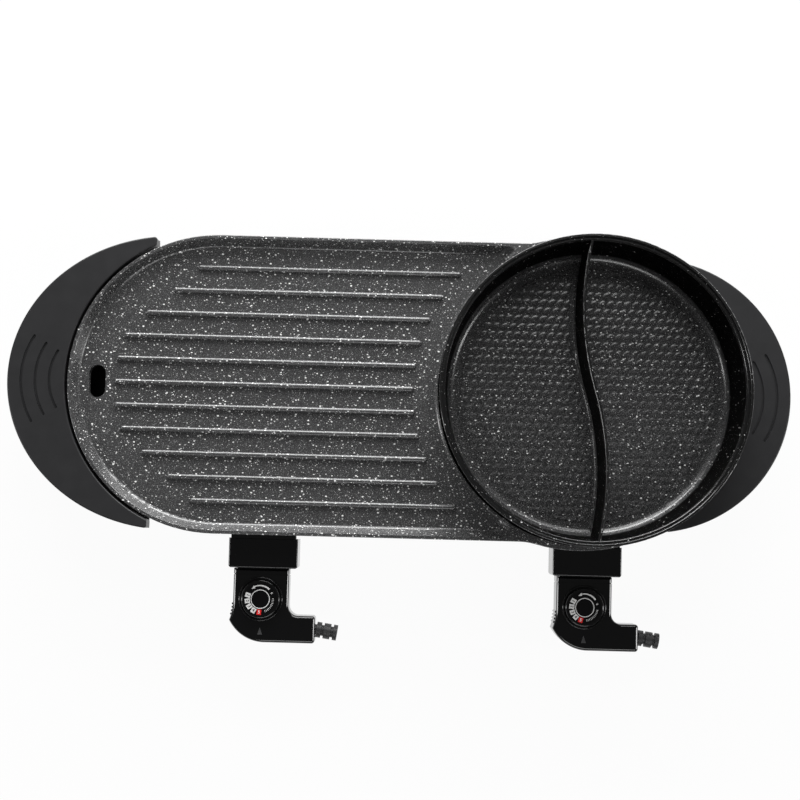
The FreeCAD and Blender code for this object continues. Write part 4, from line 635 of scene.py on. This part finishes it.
def emboss_tree(material):
    tree = Tree("embossed_floor")
    pitch = tree.input("Pitch")
    row = tree.input("Row Pitch")
    height = tree.input("Height")
    field = tree.input("Field Radius")
    clear = tree.input("Clear Of Divider")
    centre = tree.input("Centre", "Vector")
    count = tree.input("Grid Points", "Int")
    across = tree.maths("MULTIPLY", field, GRID_SIDE)
    inputs = {"Size X": across, "Size Y": across, "Vertices X": count, "Vertices Y": count}
    grid = tree.node("GeometryNodeMeshGrid", {}, inputs)["Mesh"]
    position = tree.node("GeometryNodeInputPosition")["Position"]
    place = tree.node("ShaderNodeSeparateXYZ", {}, {"Vector": position})

    def off_centre(distance, spacing):
        """Square of the way from a cell's middle, 0, to its edge, 1, in one direction."""
        half = tree.maths("MULTIPLY", spacing, 0.5)
        share = tree.maths("DIVIDE", tree.maths("PINGPONG", distance, half), half)
        return tree.maths("MULTIPLY", share, share)

    def rise(value, high):
        settings = {"interpolation_type": "SMOOTHSTEP"}
        return tree.node("ShaderNodeMapRange", settings, {0: value, 1: 0.0, 2: high})[0]

    slant = tree.maths("DIVIDE", tree.maths("MULTIPLY", pitch, 0.5), row)
    leaned = tree.maths("SUBTRACT", place["X"], tree.maths("MULTIPLY", place["Y"], slant))
    squares = tree.maths("ADD", off_centre(leaned, pitch), off_centre(place["Y"], row))
    off = tree.maths("SQRT", squares)
    pillow = rise(tree.maths("SUBTRACT", 1.0, off), DOME_SHARE)

    radius = tree.node("ShaderNodeVectorMath", {"operation": "LENGTH"}, {0: position})["Value"]
    inputs = {0: centre, "Scale": -1.0}
    back = tree.node("ShaderNodeVectorMath", {"operation": "SCALE"}, inputs)["Vector"]
    inputs = {"Geometry": tree.source.outputs[0], "Translation": back}
    divider = tree.node("GeometryNodeTransform", {}, inputs)["Geometry"]
    gap = tree.node("GeometryNodeProximity", {"target_element": "EDGES"}, {0: divider})["Distance"]
    rim = rise(tree.maths("SUBTRACT", field, radius), EMBOSS_EDGE)
    wall = rise(tree.maths("SUBTRACT", gap, clear), EMBOSS_EDGE)
    mask = tree.maths("MINIMUM", rim, wall)

    raised = tree.maths("ADD", tree.maths("MULTIPLY", pillow, height), SHEET_LIFT)
    lift = tree.maths("MULTIPLY", raised, mask)
    sink = tree.maths("MULTIPLY", tree.maths("SUBTRACT", mask, 1.0), SHEET_DIVE)
    offset = tree.node("ShaderNodeCombineXYZ", {}, {"Z": tree.maths("ADD", lift, sink)})["Vector"]
    inputs = {"Geometry": grid, "Offset": offset}
    relief = tree.node("GeometryNodeSetPosition", {}, inputs)["Geometry"]
    settings = {"operation": "LESS_THAN"}
    outside = tree.node("FunctionNodeCompare", settings, {0: mask, 1: DIVED})["Result"]
    inputs = {"Geometry": relief, "Selection": outside}
    trimmed = tree.node("GeometryNodeDeleteGeometry", {"domain": "FACE"}, inputs)["Geometry"]
    inputs = {"Geometry": trimmed, "Translation": centre}
    seated = tree.node("GeometryNodeTransform", {}, inputs)["Geometry"]
    smooth = tree.node("GeometryNodeSetShadeSmooth", {}, {"Geometry": seated})["Geometry"]
    tree.finish_with(smooth, material)
    return tree


floor_values = {
    "Pitch": EMBOSS_PITCH,
    "Row Pitch": EMBOSS_ROW,
    "Height": EMBOSS_HEIGHT,
    "Field Radius": EMBOSS_R,
    "Clear Of Divider": DIVIDER_CLEARANCE,
    "Centre": pot,
    "Grid Points": round(2 * EMBOSS_R / EMBOSS_GRID),
}
embosser = emboss_tree(finishes["granite_coating"])
embossed = settle("embossed_pot_floor", embosser, floor_values, divider_line)
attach(embossed, "base")

# %% [markdown]
# ## The printing on the dials
#
# Each dial carries a ring, five numbered boxes that grow hotter towards a red
# one, a small zero, an arrow that shows which way to turn, and fine marks.
# Ink has almost no thickness, but two faces at one height flicker, so each
# print is a plate a few hundredths of a millimetre thick on the dial. Boxes
# and marks repeat round an arc, so one tree makes both: it instances a small
# plate on points of the arc and turns it to face the centre.

# %% A tree for marks round an arc
INK = 0.05 * MM


def arc_marks_tree(material):
    tree = Tree("marks_round_an_arc_" + material.name)
    count = tree.input("Count", "Int")
    radius = tree.input("Radius")
    start = tree.input("First Angle")
    step = tree.input("Step")
    length = tree.input("Mark Length")
    width = tree.input("Mark Width")
    centre = tree.input("Centre", "Vector")
    size = tree.node("ShaderNodeCombineXYZ", {}, {"X": length, "Y": width, "Z": INK})["Vector"]
    plate = tree.node("GeometryNodeMeshCube", {}, {"Size": size})["Mesh"]
    points = tree.node("GeometryNodePoints", {}, {"Count": count})["Points"]
    index = tree.node("GeometryNodeInputIndex")[0]
    angle = tree.maths("ADD", start, tree.maths("MULTIPLY", index, step))
    x = tree.maths("MULTIPLY", radius, tree.maths("COSINE", angle))
    y = tree.maths("MULTIPLY", radius, tree.maths("SINE", angle))
    spot = tree.node("ShaderNodeCombineXYZ", {}, {"X": x, "Y": y, "Z": INK / 2})["Vector"]
    inputs = {"Geometry": points, "Position": spot}
    placed = tree.node("GeometryNodeSetPosition", {}, inputs)["Geometry"]
    turn = tree.node("ShaderNodeCombineXYZ", {}, {"Z": angle})["Vector"]
    inputs = {"Points": placed, "Instance": plate, "Rotation": turn}
    marks = tree.node("GeometryNodeInstanceOnPoints", {}, inputs)["Instances"]
    inputs = {"Geometry": marks, "Translation": centre}
    seated = tree.node("GeometryNodeTransform", {}, inputs)["Geometry"]
    tree.finish_with(seated, material)
    return tree


# %% Prints from an outline, a ring and a text
BOLDER = 0.02                   # of a numeral's size


def flat_print(name, outline, centre, material):
    """A closed outline, in metres about the dial's centre, as a plate of ink."""
    count = len(outline)
    low = [centre + Vector((x, y, 0.0)) for x, y in outline]
    high = [corner + Vector((0.0, 0.0, INK)) for corner in low]
    sides = [(i, (i + 1) % count, (i + 1) % count + count, i + count) for i in range(count)]
    faces = [tuple(reversed(range(count))), tuple(range(count, 2 * count))] + sides
    shape = bpy.data.meshes.new(name)
    shape.from_pydata(low + high, [], faces)
    shape.materials.append(material)
    return add(name, shape)


def polar(radius, degrees):
    return (radius * math.cos(math.radians(degrees)), radius * math.sin(math.radians(degrees)))


def arc_band(outer, inner, widening, start, end, steps=36):
    """An arc-shaped band from start to end degrees, whose inner radius shrinks by widening."""
    ways = [i / steps for i in range(steps + 1)]
    out = [polar(outer, start + (end - start) * t) for t in ways]
    back = [polar(inner - widening * t, start + (end - start) * t) for t in reversed(ways)]
    return out + back


def ring_mesh(name, radius, width, centre, material, steps=96):
    """A printed ring: its flat section carried round a circle."""
    inner, outer = radius - width / 2, radius + width / 2
    section = [(inner, 0.0), (outer, 0.0), (outer, INK), (inner, INK)]
    corners = []
    faces = []
    for i in range(steps):
        angle = 2 * math.pi * i / steps
        x, y = math.cos(angle), math.sin(angle)
        corners += [centre + Vector((r * x, r * y, z)) for r, z in section]
        here, there = 4 * i, 4 * ((i + 1) % steps)
        faces += [(here + k, there + k, there + (k + 1) % 4, here + (k + 1) % 4) for k in range(4)]
    shape = bpy.data.meshes.new(name)
    shape.from_pydata(corners, [], faces)
    shape.flip_normals()
    shape.materials.append(material)
    return add(name, shape)


def numeral(name, text, size, spot, turn, height, material):
    """A printed numeral, its middle at spot, turned by turn degrees, height above the plate."""
    curve = bpy.data.curves.new(name, "FONT")
    curve.body = text
    curve.size = size
    curve.align_x = "CENTER"
    curve.align_y = "CENTER"
    curve.extrude = INK / 2
    curve.offset = BOLDER * size
    shape = plain_mesh(name, add(name + "_draft", curve))
    shape.transform(Matrix.Rotation(math.radians(turn), 4, "Z"))
    shape.transform(Matrix.Translation(spot + Vector((0.0, 0.0, height + INK / 2))))
    shape.materials.clear()
    shape.materials.append(material)
    return add(name, shape)


print("Ink is", INK / MM, "mm thick")

# %% What is printed, and where
RING_R = 8.9 * MM
RING_WIDTH = 0.75 * MM
BOX_R = 12.6 * MM
BOX_LENGTH = 5.0 * MM
BOX_WIDTH = 4.4 * MM
WHITE_BOXES = 4
SCALE_MARKS = 11
SCALE_R = 12.4 * MM
SCALE_STEP = 7.0                # degrees, as are all angles of the plans
SCALE_AFTER_RED = 27.0
MARK_LENGTH = 1.9 * MM
MARK_WIDTH = 0.45 * MM
ARROW_OUTER_R = 13.7 * MM
ARROW_R = 12.9 * MM             # inner radius where the head begins, and of its tip
ARROW_WIDENING = 1.0 * MM       # towards the tail
HEAD_OUTER_R = 14.6 * MM
HEAD_INNER_R = 11.6 * MM
HEAD_ANGLE = 16.0
NUMERAL_SIZE = 4.0 * MM
ZERO_SIZE = 2.9 * MM
QUARTER = 90.0
DIALS = {   # angle of box 1, step from box to box, angle of the zero, head and tail of the arrow
    "grill": {"first": 163.0, "step": 25.7, "zero": 29.0, "arrow": (132.0, 48.0)},
    "pot": {"first": 151.0, "step": 25.4, "zero": 16.5, "arrow": (120.0, 37.0)},
}
white_marks = arc_marks_tree(white_ink)
red_marks = arc_marks_tree(red_ink)
print("Two trees print the marks of", len(DIALS), "dials")

# %% Print both dials
def print_marks(side, plan, centre):
    """The boxes from 1 to 4, the red box and the fine scale."""
    red = plan["first"] + WHITE_BOXES * plan["step"]
    boxes = {
        "Count": WHITE_BOXES,
        "Radius": BOX_R,
        "First Angle": math.radians(plan["first"]),
        "Step": math.radians(plan["step"]),
        "Mark Length": BOX_LENGTH,
        "Mark Width": BOX_WIDTH,
        "Centre": centre,
    }
    hottest = dict(boxes, Count=1)
    hottest["First Angle"] = math.radians(red)
    scale = dict(boxes, Count=SCALE_MARKS, Radius=SCALE_R)
    scale["First Angle"] = math.radians(red + SCALE_AFTER_RED)
    scale["Step"] = math.radians(SCALE_STEP)
    scale["Mark Length"] = MARK_LENGTH
    scale["Mark Width"] = MARK_WIDTH
    return [
        settle(side + "_dial_boxes", white_marks, boxes),
        settle(side + "_dial_red_box", red_marks, hottest),
        settle(side + "_dial_scale", white_marks, scale),
    ]


def print_arrow(side, plan, centre):
    """An arc that widens towards its tail, and a pointed head."""
    head, tail = plan["arrow"]
    neck = head - HEAD_ANGLE
    band = arc_band(ARROW_OUTER_R, ARROW_R, ARROW_WIDENING, neck, tail)
    point = [polar(HEAD_INNER_R, neck), polar(ARROW_R, head), polar(HEAD_OUTER_R, neck)]
    return [
        flat_print(side + "_dial_arrow", band, centre, white_ink),
        flat_print(side + "_dial_arrow_head", point, centre, white_ink),
    ]


def print_numerals(side, plan, centre):
    """The zero on the plate, and 1 to 5 on their boxes, with their tops to the centre."""
    def spot(angle):
        return centre + Vector(polar(BOX_R, angle) + (0.0,))

    zero = plan["zero"]
    pieces = [numeral(side + "_dial_0", "0", ZERO_SIZE, spot(zero), zero + QUARTER, 0.0, white_ink)]
    for number in range(1, WHITE_BOXES + 2):
        angle = plan["first"] + (number - 1) * plan["step"]
        colour = black_ink if number <= WHITE_BOXES else white_ink
        name = f"{side}_dial_{number}"
        turn = angle + QUARTER
        pieces.append(numeral(name, str(number), NUMERAL_SIZE, spot(angle), turn, INK, colour))
    return pieces


def print_dial(side, plan):
    low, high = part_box(side + "_control_dial_plate")
    centre = Vector(((low.x + high.x) / 2, (low.y + high.y) / 2, high.z))
    pieces = print_marks(side, plan, centre)
    pieces.append(ring_mesh(side + "_dial_ring", RING_R, RING_WIDTH, centre, white_ink))
    pieces += print_arrow(side, plan, centre) + print_numerals(side, plan, centre)
    for piece in pieces:
        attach(piece, side + "_dial")
    return pieces


for side, plan in DIALS.items():
    print(side, "dial:", len(print_dial(side, plan)), "prints")

# %% [markdown]
# ## Floor, light and camera
#
# A plain studio: a pale floor, a broad soft light low behind the cooker that
# draws the ribs and the rim of the pot, four weaker ones round the cooker
# that draw edges, and a dim even sky. The floor shows white to the camera and
# in reflections, and a part of it stays an ordinary surface, so that the
# cooker still casts its shadow. From below the floor is clear, so that the
# underside can be looked at.

# %% Floor
FLOOR_HALF = 6.0
FLOOR_GREY = 0.8
FLOOR_ROUGHNESS = 0.9
SHOWN_WHITE = 0.95              # how much of the floor shows white


def floor_material():
    finish = Finish("studio_floor")
    finish.set("Base Color", grey(FLOOR_GREY))
    finish.set("Roughness", FLOOR_ROUGHNESS)
    path = finish.node("ShaderNodeLightPath")
    seen = path["Is Camera Ray"] | path["Is Glossy Ray"] | path["Is Transmission Ray"]
    inputs = {"Color": grey(1.0), "Strength": 1.0}
    white = finish.node("ShaderNodeEmission", {}, inputs)["Emission"]
    surface = Signal(finish, finish.shader.outputs["BSDF"])
    inputs = {0: seen * SHOWN_WHITE, 1: surface, 2: white}
    shown = finish.node("ShaderNodeMixShader", {}, inputs)["Shader"]
    below = finish.node("ShaderNodeNewGeometry")["Backfacing"]
    clear = finish.node("ShaderNodeBsdfTransparent")["BSDF"]
    shown = finish.node("ShaderNodeMixShader", {}, {0: below, 1: shown, 2: clear})["Shader"]
    finish.feed(finish.tree.nodes["Material Output"].inputs["Surface"], shown)
    return finish.material


floor_mesh = bpy.data.meshes.new("floor")
signs = [(-1, -1), (1, -1), (1, 1), (-1, 1)]
corners = [(x * FLOOR_HALF, y * FLOOR_HALF, 0.0) for x, y in signs]
floor_mesh.from_pydata(corners, [], [(0, 1, 2, 3)])
floor_mesh.materials.append(floor_material())
floor = add("floor", floor_mesh)
floor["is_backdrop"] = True
print("Floor:", 2 * FLOOR_HALF, "m square")

# %% Lights
TARGET = Vector((0.0, 0.05, 0.05))
SOFTBOXES = {                   # place, width and height in metres, and watts
    "back_light": ((0.0, 1.7, 0.7), 2.4, 0.9, 76.0),
    "high_light": ((0.1, 0.9, 1.2), 0.8, 0.5, 5.0),
    "right_light": ((1.5, -0.25, 0.85), 0.2, 1.1, 6.5),
    "left_light": ((-1.5, -0.25, 0.85), 0.2, 1.1, 6.5),
    "front_light": ((0.1, -1.1, 1.2), 0.9, 0.5, 4.5),
}
SKY_STRENGTH = 0.055


def softbox(name, place, width, height, watts):
    """A rectangular area lamp that faces the cooker."""
    lamp = bpy.data.lights.new(name, "AREA")
    lamp.shape = "RECTANGLE"
    lamp.size = width
    lamp.size_y = height
    lamp.energy = watts
    made = add(name, lamp)
    made.location = place
    made.rotation_euler = (TARGET - Vector(place)).to_track_quat("-Z", "Y").to_euler()


for name, box in SOFTBOXES.items():
    softbox(name, *box)
sky = Finish("studio_sky", bpy.data.worlds.new("studio_sky"))
sky.set("Color", grey(1.0))
sky.set("Strength", SKY_STRENGTH)
bpy.context.scene.world = sky.material
print("Lights:", ", ".join(SOFTBOXES), "and an even sky")

# %% Camera and view
SENSOR_MM = 36.0
LENS_MM = 71.85
CAMERA_PLACE = (-0.00875, -0.0811, 1.6073)
CAMERA_TURN = (4.404, -0.4745, 1.512)       # degrees about X, Y and Z
camera_data = bpy.data.cameras.new("camera")
camera_data.sensor_width = SENSOR_MM
camera_data.lens = LENS_MM
camera_data.clip_end = 50.0
camera = add("camera", camera_data)
camera.location = CAMERA_PLACE
camera.rotation_euler = Euler([math.radians(turn) for turn in CAMERA_TURN], "XYZ")
bpy.context.scene.camera = camera
bpy.context.scene.view_settings.view_transform = "Standard"
print("Camera:", LENS_MM, "mm lens,", CAMERA_PLACE[2], "m above the floor")

# %% Sizes, and the end
bpy.context.view_layer.update()
sizes = {"cad": [list(corner) for corner in cad_box], "visual": [list(corner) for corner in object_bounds()]}
print("Visual box, mm:", [in_mm(corner) for corner in sizes["visual"]])
